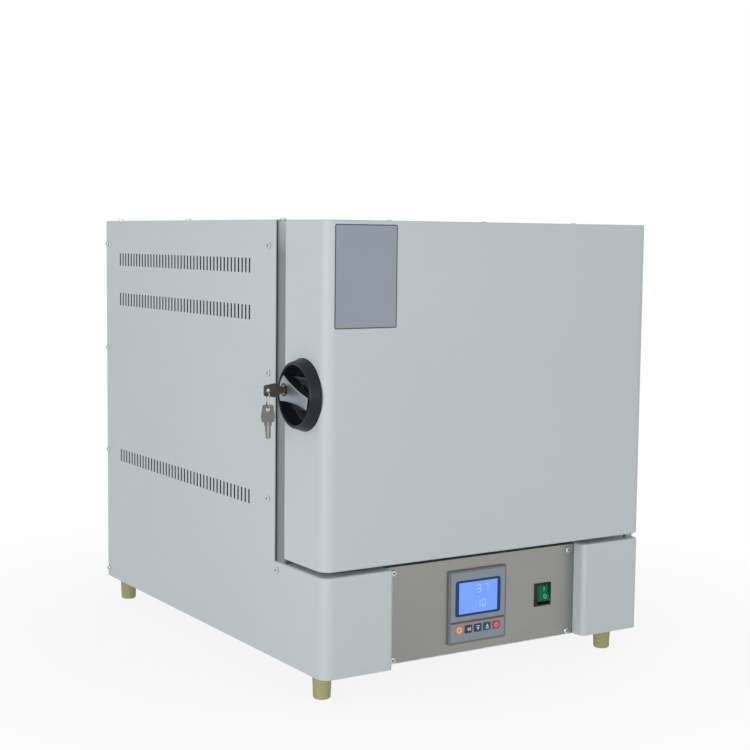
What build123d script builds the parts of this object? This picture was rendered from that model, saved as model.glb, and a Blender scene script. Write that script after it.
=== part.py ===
from build123d import *
import math
import os

# Bench muffle furnace, in millimetres, +Z up, floor at Z = 0.
# X runs across the front with the door's hinge at +X, and Y runs from the front to the rear.
# Everything is drawn about the middle of the cabinet's width, with Y = 0 at the front of its pads.

# Cabinet
body_w = 500.0          # across the side panels
body_d = 650.0          # front of the pads to the rear panel
body_h = 545.0          # underside to top cover
foot_h = 35.0
skin = 1.2              # outer sheet
seam = 0.2              # between sheets that meet
corner_r = 14.0         # upright corners of door and pads
pad_h = 123.0           # height of the lower body that the door stands over
pad_edge_r = 3.0        # soft bend along the top of a pad
recess_half = 150.0     # half the width between the pads
recess_d = 20.0         # how far the control panel is set back
panel_lap = 14.5        # control panel behind each pad's return
return_r = 6.0          # bend of a pad into the recess
flange = 20.0           # width of folded flanges
rear_bay = 108.4        # air behind the casing, for the terminals
tray_fold = 10.0        # front edge of the tray, under the controller
deck_fold = 14.0        # front edge of the deck, over the controller

# Door
door_gap = 6.5          # air under the door
door_drop = 0.5         # door top below the cabinet top
door_set_back = 1.0     # door front behind the pads' front
door_d = 93.5
door_edge_r = 2.0
frame_gap = 2.0         # door to front frame
frame_d = 23.0          # front frame ahead of the side walls
frame_inset = 2.5       # front frame inside the side walls
frame_edge_r = 1.0      # bend round the front of the frame
frame_sheet = 1.5
frame_overlap = 26.5    # front frame behind the side walls' front edge

# Chamber and insulation
chamber_w = 200.0
chamber_h = 120.0
muffle_wall = 30.0
muffle_y = 130.0        # where the chamber starts
board_t = 80.0
casing_t = 1.0
rail_h = 44.0           # channels between deck and casing
rail_w = 40.0
rail_t = 1.5
rail_in = 60.0          # channel's middle inside the casing's side
fit = 0.3               # between parts that seat against each other
plug_base_w = 230.0
plug_base_h = 150.0
plug_reach = 28.0       # plug behind the door
plug_taper = 14.5       # how much each side of the plug comes in
plug_gap = 3.5          # plug to throat, sideways
plug_tenon_w = 220.0
plug_tenon_h = 140.0
plug_tenon_d = 12.0
plug_r = 12.0
gasket_t = 1.6
gasket_w = 25.0
groove = 9.0            # groove for a heating element
element_r = 3.0
element_rows = 4
element_pitch = 28.0
element_end = 14.0      # element turn ahead of the chamber's ends
element_tail = 95.0     # element end behind the muffle
bush_neck_t = 3.0       # bush round an element, in the casing
bush_t = 6.0            # and behind it
bush_l = 8.0
hearth_t = 8.0
hearth_gap = 12.5

# Handle, latch, lock and keys
handle_y = 50.5
dish_r = 44.0
dish_rim_r = 39.2
dish_hole_r = 38.5
dish_proud = 13.5
dish_floor = 8.0        # dish floor inside the door's left face
bar_half = 20.0         # half the height of the bar across the dish
bar_in = 1.0            # bar's face inside the door's left face
bar_edge = 1.5
shaft_r = 5.0
run = 0.05              # running clearance of shafts and pins, on the radius
blade_proud = 14.6
blade_tilt = 12.8       # degrees that the blade's rear end stands up
blade_rear = 33.6       # from the handle's axis to the wide end
blade_heel = 28.0       # from the axis to the wide end's corners
blade_front = 33.6      # from the axis to the flat narrow end
blade_edge = 0.9
blade_low = 3.0         # underside of the blade ahead of the door's left face
blade_rear_half = 16.2
blade_waist_half = 9.8
blade_front_half = 7.4
boss_r = 11.0
lock_reach = 21.5       # lock centre from the handle's axis
barrel_r = 8.0
lock_plug_r = 5.0
barrel_low = 0.5        # barrel's end ahead of the door's left face
hook_t = 5.0
hook_set = 14.0         # hook face inside the door's left face
hook_half = 11.0
hook_tip_r = 66.0
keeper_r = 56.0         # keeper pin from the handle's axis
keeper_pin_r = 4.0
keeper_gap = 1.0
key_t = 2.0
key_slot_gap = 0.15
key_w = 6.6
bow_l = 21.0
bow_w = 17.0
bow_top_w = 12.4        # bow's width at its far end
neck_w = 9.0
key_reach = 4.0         # bow to the step of the key's blade
lock_key_l = 12.5       # blade of the key in the lock
spare_key_l = 17.0
key_hole_r = 2.6
key_hole_in = 5.5       # hole's centre from the bow's far end
key_clear = 6.0         # bow ahead of the blade's face
ring_r = 10.0
ring_wire = 1.3
ring_turn = 18.0        # degrees that the ring and the second key hang askew
hang = 1.2              # wire centre off the centre of a key's hole

# Hinge
hinge_x = 240.0
hinge_y = 16.0
hinge_pin_r = 4.0
arm_w = 9.6
arm_t = 5.0
arm_plate_w = 40.0      # plate of the arm behind the frame
arm_plate_t = 3.0
arm_plate_below = 25.0
arm_plate_above = 15.0
arm_tail = 20.0         # arm's end ahead of the frame's rear edge
arm_drop = 30.0         # arm below the door's top
block_h = 20.0
hinge_gap = 0.3
arm_gap = 1.0

# Control panel
controller_x = -10.5
controller_z = 59.5
controller_w = 91.0
controller_h = 95.0
controller_d = 70.0
bezel_t = 3.5
bezel_lip = 2.5
window_w = 71.0
window_h = 46.0
window_z = 70.3
window_t = 1.2
button_z = 30.0
button_pitch = 14.65
button_w = 11.5
button_h = 10.0
button_proud = 0.8
button_travel = 0.6
button_gap = 0.25
rocker_x = 97.3
rocker_z = 59.4
rocker_bezel_w = 27.0
rocker_bezel_h = 30.5
rocker_bezel_t = 2.0
rocker_w = 19.0
rocker_half = 10.5
rocker_front = 9.5
rocker_pivot_d = 7.0    # pivot behind the control panel's front
rocker_tilt = 12.0
rocker_pin_r = 1.5
rocker_pin_in = 3.2     # pin's end inside the bezel's side
rocker_lap_x = 2.5      # bezel beside the cut-out
rocker_lap_z = 1.5      # bezel above and below it
rocker_box_d = 24.0
panel_screw_x = 138.5
panel_screw_z = (4.7, 114.4)

# Vents
slot_w = 4.0
slot_h = 18.5
slot_pitch = 10.0
slot_first = 187.5
slot_last = 52.5        # last slot ahead of the rear edge
rear_slot_count = 20
slot_low = 71.0         # lowest row of side slots above the ledge
slot_high = 57.0        # highest row below the cabinet's top
slot_between = 59.0     # between the two upper rows
rear_slot_low = 78.0

# Screws
screw_head_r = 4.0
screw_head_h = 2.4
screw_r = 1.9
screw_hole_r = 2.1
seat = 0.05             # under a screw head
screw_l = 9.0
front_screw_y = 136.0
screw_above = 76.0      # lowest front screw above the ledge
screw_below = 32.0      # highest front screw below the cabinet's top
rear_screw_in = 5.0     # rear screws ahead of the rear edge
rear_screw_drop = 2.0   # rear screws below the front ones
rear_screw_low = 12.0
low_screw_y = 112.0
low_screw_drop = 10.0   # below the ledge
top_screw_x = (76.0, 232.0)
top_front_screw_y = 134.0
top_rear_screw_in = 14.0
top_side_screw_x = 240.0

# Feet
foot_r = 12.2
foot_tip_r = 10.8
foot_side = 25.8
foot_front = 45.3
foot_rear = 17.9
foot_bolt_r = 2.5
foot_cup_r = 5.5
foot_cup_h = 12.0

# Rear fittings
pipe_r = 11.0
pipe_bore_r = 8.0
pipe_x = 60.0
pipe_up = 34.0
pipe_out = 22.0
spigot_r = 12.5
spigot_flange = 3.0
probe_r = 4.0
probe_up = 34.0
probe_in = 30.0
probe_flange_r = 13.0
probe_flange_t = 4.0
probe_head_r = 16.0
probe_head_l = 28.0
probe_head_gap = 22.0   # head behind the casing
gland_x = 170.0
gland_z = 60.0
gland_r = 11.0
gland_bore_r = 5.0
gland_thread_r = 8.0

# Electronics bay
relay_x = -90.0
relay_back = 290.0      # relay ahead of the rear edge
relay_w = 45.0
relay_l = 58.0
relay_h = 24.0
relay_side = 7.0        # relay beside the heat sink's middle
sink_w = 110.0
sink_l = 130.0
sink_base = 6.0
sink_h = 30.0
fin_count = 9
fin_t = 2.0
terminal_x = 145.0
terminal_back = 117.5   # terminals ahead of the rear edge
terminal_w = 90.0
terminal_l = 25.0
terminal_h = 22.0
terminal_count = 6
terminal_pitch = 15.0
terminal_cup = 8.0
terminal_cup_l = 17.0

# Levels and planes that follow from the sizes above
base_z = foot_h
ledge_z = base_z + pad_h
top_z = base_z + body_h
door_z0 = ledge_z + door_gap
door_z1 = top_z - door_drop
door_y0 = door_set_back
door_y1 = door_y0 + door_d
frame_y = door_y1 + frame_gap
wall_y = frame_y + frame_d
frame_back = wall_y + frame_overlap
side_x = body_w / 2
inner_x = side_x - skin
frame_x = side_x - frame_inset
frame_top = top_z - skin - seam / 2
frame_z0 = ledge_z + seam / 2
deck_top = ledge_z - skin - seam / 2
panel_y = recess_d + seam / 2
chamber_z = (door_z0 + door_z1) / 2
casing_back = body_d - rear_bay
board_back = casing_back - casing_t - fit
muffle_back = board_back - board_t - fit
chamber_back = muffle_back - muffle_wall
chamber_d = chamber_back - muffle_y
muffle_half_w = chamber_w / 2 + muffle_wall
muffle_half_h = chamber_h / 2 + muffle_wall
board_half_w = muffle_half_w + board_t - 10.0
casing_half_h = chamber_z - deck_top - rail_h
board_half_h = casing_half_h - casing_t - fit
board_y = frame_y + frame_sheet + fit
casing_half_w = board_half_w + fit + casing_t
throat_gap_w = plug_base_w / 2 + plug_gap
throat_gap_h = plug_base_h / 2 + plug_gap
door_face = -side_x
dish_floor_x = door_face + dish_floor
hook_x = door_face + hook_set
tilt = math.radians(blade_tilt)
lock_y = handle_y + lock_reach * math.cos(tilt)
lock_z = chamber_z + lock_reach * math.sin(tilt)
blade_top_x = door_face - blade_proud
arm_z = door_z1 - arm_drop
relay_y = body_d - relay_back
slot_count = 1 + round((body_d - slot_last - slot_first) / slot_pitch)
slot_rows = (pad_h + slot_low, body_h - slot_high - slot_between, body_h - slot_high)
rear_slot_rows = (rear_slot_low, body_h - slot_high)
screw_low_z = pad_h + screw_above
screw_high_z = body_h - screw_below
front_screw_z = (screw_low_z, (screw_low_z + screw_high_z) / 2, screw_high_z)
rear_screw_z = (rear_screw_low, *(z - rear_screw_drop for z in front_screw_z))
rear_screw_y = body_d - rear_screw_in
low_screw = (low_screw_y, pad_h - low_screw_drop)
top_screw_y = (top_front_screw_y, body_d - top_rear_screw_in)
top_side_screw = (top_side_screw_x, (wall_y + body_d) / 2)


def slab(x0, x1, y0, y1, z0, z1):
    """A box between six planes."""
    centre = Pos((x0 + x1) / 2, (y0 + y1) / 2, (z0 + z1) / 2)
    return centre * Box(x1 - x0, y1 - y0, z1 - z0)


def rod_x(x0, x1, y, z, radius):
    """A round bar along X."""
    return Pos((x0 + x1) / 2, y, z) * Rot(0, 90, 0) * Cylinder(radius, x1 - x0)


def rod_y(y0, y1, x, z, radius):
    """A round bar along Y."""
    return Pos(x, (y0 + y1) / 2, z) * Rot(90, 0, 0) * Cylinder(radius, y1 - y0)


def rod_z(z0, z1, x, y, radius):
    """A round bar along Z."""
    return Pos(x, y, (z0 + z1) / 2) * Cylinder(radius, z1 - z0)


def group(pieces):
    """Separate solids that share one node."""
    return Compound(children=list(pieces))


def upright_slots(rows, first, count):
    """Rows of upright vent slots, drawn in the plane of a panel."""
    slot = Rectangle(slot_w, slot_h)
    return [Pos(first + i * slot_pitch, base_z + row) * slot for row in rows for i in range(count)]


def screw(length=screw_l):
    """A pan head screw on the Z axis, with its seat at Z = 0 and its shank below."""
    head = Pos(0, 0, seat + screw_head_h / 2) * Cylinder(screw_head_r, screw_head_h)
    head = chamfer(head.edges().group_by(Axis.Z)[-1], screw_head_h / 3)
    return head + rod_z(-length, seat, 0, 0, screw_r)


def pad_plan(inset, rear):
    """Left pad seen from above, set in from its outer faces and open at the rear."""
    x0 = -side_x + inset
    x1 = -recess_half - inset
    plan = Pos((x0 + x1) / 2, (inset + rear) / 2) * Rectangle(x1 - x0, rear - inset)
    plan = fillet(plan.vertices().sort_by_distance((x0, inset, 0))[0], corner_r - inset)
    return fillet(plan.vertices().sort_by_distance((x1, inset, 0))[0], return_r - inset)


def side_screw_points():
    """Height and depth of the screws in one side panel."""
    front = [(front_screw_y, base_z + z) for z in front_screw_z]
    rear = [(rear_screw_y, base_z + z) for z in rear_screw_z]
    return front + rear + [(low_screw[0], base_z + low_screw[1])]


def left_side_panel():
    """Wall with vents, bent round at the bottom into the front pad."""
    outer = extrude(Pos(0, 0, base_z) * pad_plan(0, wall_y), pad_h)
    rim = outer.faces().sort_by(Axis.Z)[-1].edges().filter_by(lambda e: e.center().Y < wall_y - 1)
    outer = fillet(rim, pad_edge_r)
    inner = extrude(Pos(0, 0, base_z - 1) * pad_plan(skin, wall_y + 1), pad_h - skin + 1)
    rim = inner.faces().sort_by(Axis.Z)[-1].edges().filter_by(lambda e: e.center().Y < wall_y)
    inner = fillet(rim, pad_edge_r - skin)
    trim_x = -recess_half - pad_edge_r - seam / 2
    trim = slab(trim_x, -recess_half + 1, recess_d, wall_y + 1, base_z - 1, ledge_z + 1)
    pad = outer - inner - trim

    sheet = Pos((wall_y + body_d) / 2, base_z + body_h / 2) * Rectangle(body_d - wall_y, body_h)
    holes = [Pos(y, z) * Circle(screw_hole_r) for y, z in side_screw_points() if y > wall_y]
    sheet = sheet - upright_slots(slot_rows, slot_first, slot_count) - holes
    wall = extrude(Plane.YZ.offset(-side_x) * sheet, skin)

    flange_z = top_z - skin - seam / 2
    top = slab(-inner_x, -inner_x + flange, frame_back + 1, body_d - flange * 2, flange_z - skin, flange_z)
    top -= rod_z(flange_z - skin, flange_z, -top_side_screw[0], top_side_screw[1], screw_hole_r)
    hole = rod_x(-side_x, -inner_x, low_screw[0], base_z + low_screw[1], screw_hole_r)
    return pad + wall + top - hole


def right_side_panel():
    """Mirror of the left one, with the hole that the lower hinge pin stands in."""
    panel = mirror(left_side_panel(), Plane.YZ)
    return panel - rod_z(deck_top, ledge_z + 1, hinge_x, hinge_y, hinge_pin_r + fit)


def base_tray():
    """Floor of the cabinet, with a tongue into each pad and upturned edges."""
    back = body_d - skin - seam
    floor = slab(-inner_x + seam, inner_x - seam, panel_y, back, base_z, base_z + skin)
    tongue = extrude(Pos(0, 0, base_z) * pad_plan(skin + seam, panel_y + 1), skin)
    floor = floor + tongue + mirror(tongue, Plane.YZ)
    up = base_z + flange
    for x in (-inner_x + seam, inner_x - seam - skin):
        floor += slab(x, x + skin, wall_y, back - flange * 2, base_z, up)
    front = panel_y + skin + seam
    floor += slab(-recess_half, recess_half, front, front + skin, base_z, base_z + tray_fold)
    for x in (-panel_screw_x, panel_screw_x):
        floor -= rod_y(front - 1, front + skin + 1, x, base_z + panel_screw_z[0], screw_hole_r)
    for x, y in foot_points():
        floor -= rod_z(base_z - 1, base_z + skin + 1, x, y, foot_bolt_r + seam)
    return floor


def foot_points():
    """Where the four feet stand."""
    x = side_x - foot_side
    return [(sx * x, y) for sx in (-1, 1) for y in (foot_front, body_d - foot_rear)]


def rubber_feet():
    """Tapered feet with a cup for the bolt head in the underside."""
    profile = Polyline((foot_bolt_r + seam, foot_h), (foot_r, foot_h), (foot_tip_r, 1.5),
                       (foot_tip_r - 1.5, 0), (foot_cup_r, 0), (foot_cup_r, foot_cup_h),
                       (foot_bolt_r + seam, foot_cup_h), close=True)
    foot = revolve(make_face(Plane.XZ * profile), Axis.Z)
    return group(Pos(x, y, 0) * foot for x, y in foot_points())


def foot_bolts():
    """Bolt up through each foot, and the nut on the tray."""
    pieces = []
    nut_z = base_z + skin
    for x, y in foot_points():
        head = rod_z(foot_cup_h - 4, foot_cup_h, x, y, foot_cup_r - 1)
        pieces.append(head + rod_z(foot_cup_h, nut_z + 6, x, y, foot_bolt_r))
        nut = extrude(Pos(x, y, nut_z) * RegularPolygon(foot_bolt_r * 1.9, 6), 4)
        pieces.append(nut - rod_z(nut_z, nut_z + 4, x, y, foot_bolt_r + run))
    return group(pieces)


def top_screw_points():
    """Where screws stand on the top cover."""
    points = [(sx * x, y) for sx in (-1, 1) for x in top_screw_x for y in top_screw_y]
    return points + [(sx * top_side_screw[0], top_side_screw[1]) for sx in (-1, 1)]


def top_cover():
    """Flat lid between the side walls."""
    x = inner_x - seam
    lid = slab(-x, x, wall_y, body_d, top_z - skin, top_z)
    for px, py in top_screw_points():
        lid -= rod_z(top_z - skin - 1, top_z + 1, px, py, screw_hole_r)
    return lid


def rear_panel():
    """Back sheet with flanges folded forward, vents, and holes for the fittings."""
    x = inner_x - seam
    z0 = base_z + skin + seam
    z1 = top_z - skin - seam / 2
    y = body_d - skin
    first = -slot_pitch * (rear_slot_count - 1) / 2
    width = 2 * x
    sheet = Pos(0, (z0 + z1) / 2) * Rectangle(width, z1 - z0)
    sheet -= upright_slots(rear_slot_rows, first, rear_slot_count)
    sheet -= Pos(pipe_x, chamber_z + pipe_up) * Circle(pipe_r + fit)
    sheet -= Pos(gland_x, base_z + gland_z) * Circle(gland_thread_r + fit)
    panel = extrude(Plane.XZ.offset(-body_d) * sheet, skin)
    for sx in (-1, 1):
        side = slab(*sorted((sx * x, sx * (x - skin))), y - flange, y, z0, z1)
        for py, pz in side_screw_points():
            if py > y - flange:
                side -= rod_x(*sorted((sx * (x + 1), sx * (x - skin - 1))), py, pz, screw_hole_r)
        panel += side
    top = slab(-x, x, y - flange, y, z1 - skin, z1)
    for px, py in top_screw_points():
        top -= rod_z(z1 - skin - 1, z1 + 1, px, py, screw_hole_r)
    return panel + top


def front_frame():
    """Stainless collar that the door closes on, open at the throat and at the latch."""
    outer = slab(-frame_x, frame_x, frame_y, frame_back, frame_z0, frame_top)
    outer = fillet(outer.faces().sort_by(Axis.Y)[0].edges(), frame_edge_r)
    t = frame_sheet
    outer -= slab(-frame_x + t, frame_x - t, frame_y + t, frame_back + 1, frame_z0 + t, frame_top - t)
    half_w = muffle_half_w + fit
    half_h = muffle_half_h + fit
    outer -= slab(-half_w, half_w, frame_y - 1, frame_y + t + 1, chamber_z - half_h, chamber_z + half_h)
    outer -= latch_slot(frame_y - 1, frame_y + t + 1)
    x = hinge_x - arm_w / 2 - seam
    outer -= slab(x, frame_x - t, frame_y - 1, frame_y + t + 1, arm_z - seam, arm_z + arm_t + seam)
    for sx in (-1, 1):
        for z in front_screw_z:
            x0, x1 = sorted((sx * (frame_x + 1), sx * (frame_x - t - 1)))
            outer -= rod_x(x0, x1, front_screw_y, base_z + z, screw_hole_r)
        for x in top_screw_x:
            outer -= rod_z(frame_top - t - 1, frame_top + 1, sx * x, top_screw_y[0], screw_hole_r)
    return outer


def latch_slot(y0, y1):
    """The upright slot that the hook swings through."""
    reach = math.sqrt(hook_tip_r ** 2 - (door_y1 - skin - handle_y) ** 2)
    side = 2.0
    return slab(hook_x - side, hook_x + hook_t + side, y0, y1,
                chamber_z - hook_half - side, chamber_z + reach + side * 2)


def frame_top_strip():
    """Rubber strip along the top of the frame, between door and top cover."""
    return slab(-frame_x + 1, frame_x - 1, frame_y + 1, wall_y - seam, frame_top, top_z - seam)


def deck():
    """Shelf over the electronics bay: the ledge under the door, with folded edges."""
    x = side_x - pad_edge_r - fit
    front = panel_y + skin + seam
    back = body_d - skin - flange * 2
    low = deck_top - flange
    shelf = slab(-x, x, front, back, deck_top - skin, deck_top)
    shelf += slab(-recess_half, recess_half, front, front + skin, deck_top - deck_fold, deck_top)
    for sx in (-1, 1):
        x0, x1 = sorted((sx * x, sx * (x - skin)))
        side = slab(x0, x1, front, back, low, deck_top)
        shelf += side - rod_x(x0 - 1, x1 + 1, low_screw[0], base_z + low_screw[1], screw_hole_r)
        shelf -= rod_y(front - 1, front + skin + 1, sx * panel_screw_x, base_z + panel_screw_z[1], screw_hole_r)
    return shelf


def control_panel():
    """Stainless plate behind the pads' returns, cut out for the controller and the switch."""
    half = recess_half + panel_lap
    z0 = base_z + skin + seam
    z1 = deck_top
    sheet = Pos(0, (z0 + z1) / 2) * Rectangle(2 * half, z1 - z0)
    cut = Rectangle(controller_w - 2 * bezel_lip + fit, controller_h - 2 * bezel_lip + fit)
    sheet -= Pos(controller_x, base_z + controller_z) * cut
    cut = Rectangle(rocker_bezel_w - 2 * rocker_lap_x + fit, rocker_bezel_h - 2 * rocker_lap_z + fit)
    sheet -= Pos(rocker_x, base_z + rocker_z) * cut
    for x, z in panel_screw_points():
        sheet -= Pos(x, z) * Circle(screw_hole_r)
    return extrude(Plane.XZ.offset(-panel_y - skin) * sheet, skin)


def panel_screw_points():
    """Where the control panel is screwed on."""
    return [(sx * panel_screw_x, base_z + z) for sx in (-1, 1) for z in panel_screw_z]


def side_screws():
    """Both side panels' screws."""
    out = Rot(0, -90, 0) * screw()
    left = [Pos(-side_x, y, z) * out for y, z in side_screw_points()]
    right = [mirror(one, Plane.YZ) for one in left]
    return group(left + right)


def top_screws():
    """The top cover's screws."""
    return group(Pos(x, y, top_z) * screw() for x, y in top_screw_points())


def panel_screws():
    """The control panel's screws."""
    out = Rot(90, 0, 0) * screw()
    return group(Pos(x, panel_y, z) * out for x, z in panel_screw_points())


def soft_rectangle(half_w, half_h, radius):
    """A rectangle with round corners, for openings and plugs."""
    return RectangleRounded(2 * half_w, 2 * half_h, radius)


def upright(y):
    """A drawing plane that faces the front, at depth Y, centred on the chamber."""
    return Plane(origin=(0, y, chamber_z), x_dir=(1, 0, 0), z_dir=(0, 1, 0))


def throat_collar():
    """Fibre block that leads from the frame to the chamber, flared to take the plug."""
    y0 = frame_y + seam
    half_w = muffle_half_w
    half_h = muffle_half_h
    block = slab(-half_w, half_w, y0, muffle_y - seam / 2, chamber_z - half_h, chamber_z + half_h)
    mouth = upright(y0 - 1) * soft_rectangle(throat_gap_w, throat_gap_h, plug_r)
    end = upright(muffle_y + 1) * soft_rectangle(chamber_w / 2, chamber_h / 2, plug_r)
    return block - loft([mouth, end])


def muffle():
    """Ceramic fibre tube of the chamber, with grooves for the elements."""
    half_w = muffle_half_w
    half_h = muffle_half_h
    block = slab(-half_w, half_w, muffle_y, chamber_back, chamber_z - half_h, chamber_z + half_h)
    hollow = upright(muffle_y - 1) * soft_rectangle(chamber_w / 2, chamber_h / 2, plug_r)
    block -= extrude(hollow, chamber_d + 2)
    front = muffle_y + element_end - groove
    for sx in (-1, 1):
        wall = sx * chamber_w / 2
        x0, x1 = sorted((wall - sx, wall + sx * groove))
        for z in element_heights():
            block -= slab(x0, x1, front, chamber_back + 1, z - groove / 2, z + groove / 2)
        for low, high, y in element_turns():
            block -= slab(x0, x1, y - groove / 2, y + groove / 2, low - groove / 2, high + groove / 2)
    return block


def muffle_rear_wall():
    """Rear wall of the chamber, bored for the elements, the pipe and the probe."""
    y0 = chamber_back + seam / 2
    wall = slab(-muffle_half_w, muffle_half_w, y0, muffle_back,
                chamber_z - muffle_half_h, chamber_z + muffle_half_h)
    heights = element_heights()
    for x in (-element_x(), element_x()):
        for z in (heights[0], heights[-1]):
            wall -= rod_y(y0 - 1, muffle_back + 1, x, z, element_r + fit)
    wall -= rod_y(y0 - 1, muffle_back + 1, pipe_x, chamber_z + pipe_up, pipe_r + fit)
    return wall - rod_y(y0 - 1, muffle_back + 1, 0, chamber_z + probe_up, probe_r + fit)


def element_x():
    """How far the elements lie from the middle."""
    return chamber_w / 2 + groove / 2


def element_heights():
    """Heights of the straight runs of an element, from the lowest."""
    low = chamber_z - element_pitch * (element_rows - 1) / 2
    return [low + i * element_pitch for i in range(element_rows)]


def element_turns():
    """Each turn of an element: its two heights and its depth."""
    heights = element_heights()
    front = muffle_y + element_end
    rear = chamber_back - element_end
    return [(heights[i], heights[i + 1], front if i % 2 == 0 else rear) for i in range(element_rows - 1)]


def heating_elements():
    """One bent rod in each side wall, its two ends out through the rear."""
    heights = element_heights()
    tail = muffle_back + element_tail
    pieces = []
    for sx in (-1, 1):
        x = sx * element_x()
        points = [(x, tail, heights[0])]
        for low, high, y in element_turns():
            points += [(x, y, low), (x, y, high)]
        points.append((x, tail, heights[-1]))
        path = FilletPolyline(*points, radius=element_r * 2)
        start = Plane(origin=path @ 0, z_dir=path % 0)
        pieces.append(sweep(start * Circle(element_r), path=path))
    return group(pieces)


def hearth_plate():
    """Loose plate on the chamber's floor."""
    half = chamber_w / 2 - hearth_gap
    z = chamber_z - chamber_h / 2
    plate = slab(-half, half, muffle_y + hearth_gap, chamber_back - hearth_gap, z, z + hearth_t)
    return chamfer(plate.faces().sort_by(Axis.Z)[-1].edges(), 1.5)


def insulation_boards():
    """Side, top, bottom and rear boards round the muffle."""
    w = board_half_w
    h = board_half_h
    z = chamber_z
    side = muffle_half_w + fit
    over = muffle_half_h + fit
    rear = muffle_back + fit
    back = slab(-w, w, rear, board_back, z - h, z + h)
    back -= rod_y(rear, board_back, pipe_x, z + pipe_up, pipe_r + fit)
    back -= rod_y(rear, board_back, 0, z + probe_up, probe_r + fit)
    heights = element_heights()
    for x in (-element_x(), element_x()):
        for end in (heights[0], heights[-1]):
            back -= rod_y(rear, board_back, x, end, element_r + fit)
    front = board_y
    stop = rear - fit / 3
    return group([
        slab(-w, -side, front, stop, z - h, z + h),
        slab(side, w, front, stop, z - h, z + h),
        slab(-side + seam, side - seam, front, stop, z + over, z + h),
        slab(-side + seam, side - seam, front, stop, z - h, z - over),
        back,
    ])


def inner_casing():
    """Sheet box round the insulation, open to the front frame."""
    w = casing_half_w
    h = casing_half_h
    box = slab(-w, w, board_y, casing_back, chamber_z - h, chamber_z + h)
    box -= slab(-w + casing_t, w - casing_t, board_y - 1, casing_back - casing_t,
                chamber_z - h + casing_t, chamber_z + h - casing_t)
    y0 = casing_back - casing_t - 1
    y1 = casing_back + 1
    box -= rod_y(y0, y1, pipe_x, chamber_z + pipe_up, pipe_r + fit)
    box -= rod_y(y0, y1, 0, chamber_z + probe_up, probe_r + fit)
    heights = element_heights()
    for x in (-element_x(), element_x()):
        for z in (heights[0], heights[-1]):
            box -= rod_y(y0, y1, x, z, element_r + bush_neck_t + run)
    return box


def element_bushes():
    """Ceramic bush where each element end leaves the casing."""
    pieces = []
    heights = element_heights()
    for x in (-element_x(), element_x()):
        for z in (heights[0], heights[-1]):
            bush = rod_y(casing_back - casing_t, casing_back, x, z, element_r + bush_neck_t)
            bush += rod_y(casing_back, casing_back + bush_l, x, z, element_r + bush_t)
            pieces.append(bush - rod_y(casing_back - 5, casing_back + bush_l + 1, x, z, element_r + fit))
    return group(pieces)


def casing_rails():
    """Channels that carry the casing over the deck."""
    high = deck_top + rail_h
    half = rail_w / 2
    pieces = []
    for x in (-casing_half_w + rail_in, casing_half_w - rail_in):
        rail = slab(x - half, x + half, frame_back + 5, casing_back - 10, deck_top, high)
        hollow = slab(x - half + rail_t, x + half + 1, frame_back, casing_back, deck_top + rail_t, high - rail_t)
        pieces.append(rail - hollow)
    return group(pieces)


def thermocouple():
    """Sheath through the rear wall into the chamber, with its terminal head."""
    z = chamber_z + probe_up
    tip = chamber_back - probe_in
    head = casing_back + probe_head_gap
    probe = rod_y(tip, head + 1, 0, z, probe_r)
    probe += rod_y(casing_back + fit, casing_back + probe_flange_t, 0, z, probe_flange_r)
    return probe + rod_y(head, head + probe_head_l, 0, z, probe_head_r)


def exhaust_pipe():
    """Ceramic pipe from the chamber's rear wall to the rear panel."""
    z = chamber_z + pipe_up
    y0 = chamber_back + 2
    pipe = rod_y(y0, body_d - seam / 2, pipe_x, z, pipe_r)
    return pipe - rod_y(y0 - 1, body_d, pipe_x, z, pipe_bore_r)


def exhaust_spigot():
    """Flanged spigot on the rear panel, in line with the pipe."""
    z = chamber_z + pipe_up
    ring = rod_y(body_d, body_d + spigot_flange, pipe_x, z, spigot_r * 2)
    ring = chamfer(ring.edges().group_by(Axis.Y)[-1], 1)
    neck = rod_y(body_d + spigot_flange, body_d + pipe_out, pipe_x, z, spigot_r)
    return ring + neck - rod_y(body_d - 1, body_d + pipe_out + 1, pipe_x, z, pipe_bore_r)


def cable_gland():
    """Gland for the supply lead: thread through the panel, hexagon and dome nut outside."""
    z = base_z + gland_z
    gland = rod_y(body_d - skin - 8, body_d, gland_x, z, gland_thread_r)
    hexagon = Plane(origin=(gland_x, body_d, z), x_dir=(1, 0, 0), z_dir=(0, 1, 0)) * RegularPolygon(gland_r, 6)
    gland += extrude(hexagon, 5)
    dome = rod_y(body_d + 5, body_d + 20, gland_x, z, gland_r - 2)
    gland += fillet(dome.edges().group_by(Axis.Y)[-1], 4)
    return gland - rod_y(body_d - 20, body_d + 21, gland_x, z, gland_bore_r)


def gland_nut():
    """Lock nut inside the rear panel."""
    z = base_z + gland_z
    plane = Plane(origin=(gland_x, body_d - skin, z), x_dir=(1, 0, 0), z_dir=(0, -1, 0))
    nut = extrude(plane * RegularPolygon(gland_r, 6), 5)
    return nut - rod_y(body_d - 20, body_d, gland_x, z, gland_thread_r + run)


def heat_sink():
    """Finned extrusion on the tray, fins up."""
    z = base_z + skin
    y0 = relay_y - sink_l / 2
    y1 = relay_y + sink_l / 2
    sink = slab(relay_x - sink_w / 2, relay_x + sink_w / 2, y0, y1, z, z + sink_base)
    step = (sink_w / 2 - fin_t) / (fin_count - 1)
    for i in range(fin_count):
        x = relay_x + i * step
        sink += slab(x, x + fin_t, y0, y1, z + sink_base, z + sink_h)
    return sink


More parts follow.
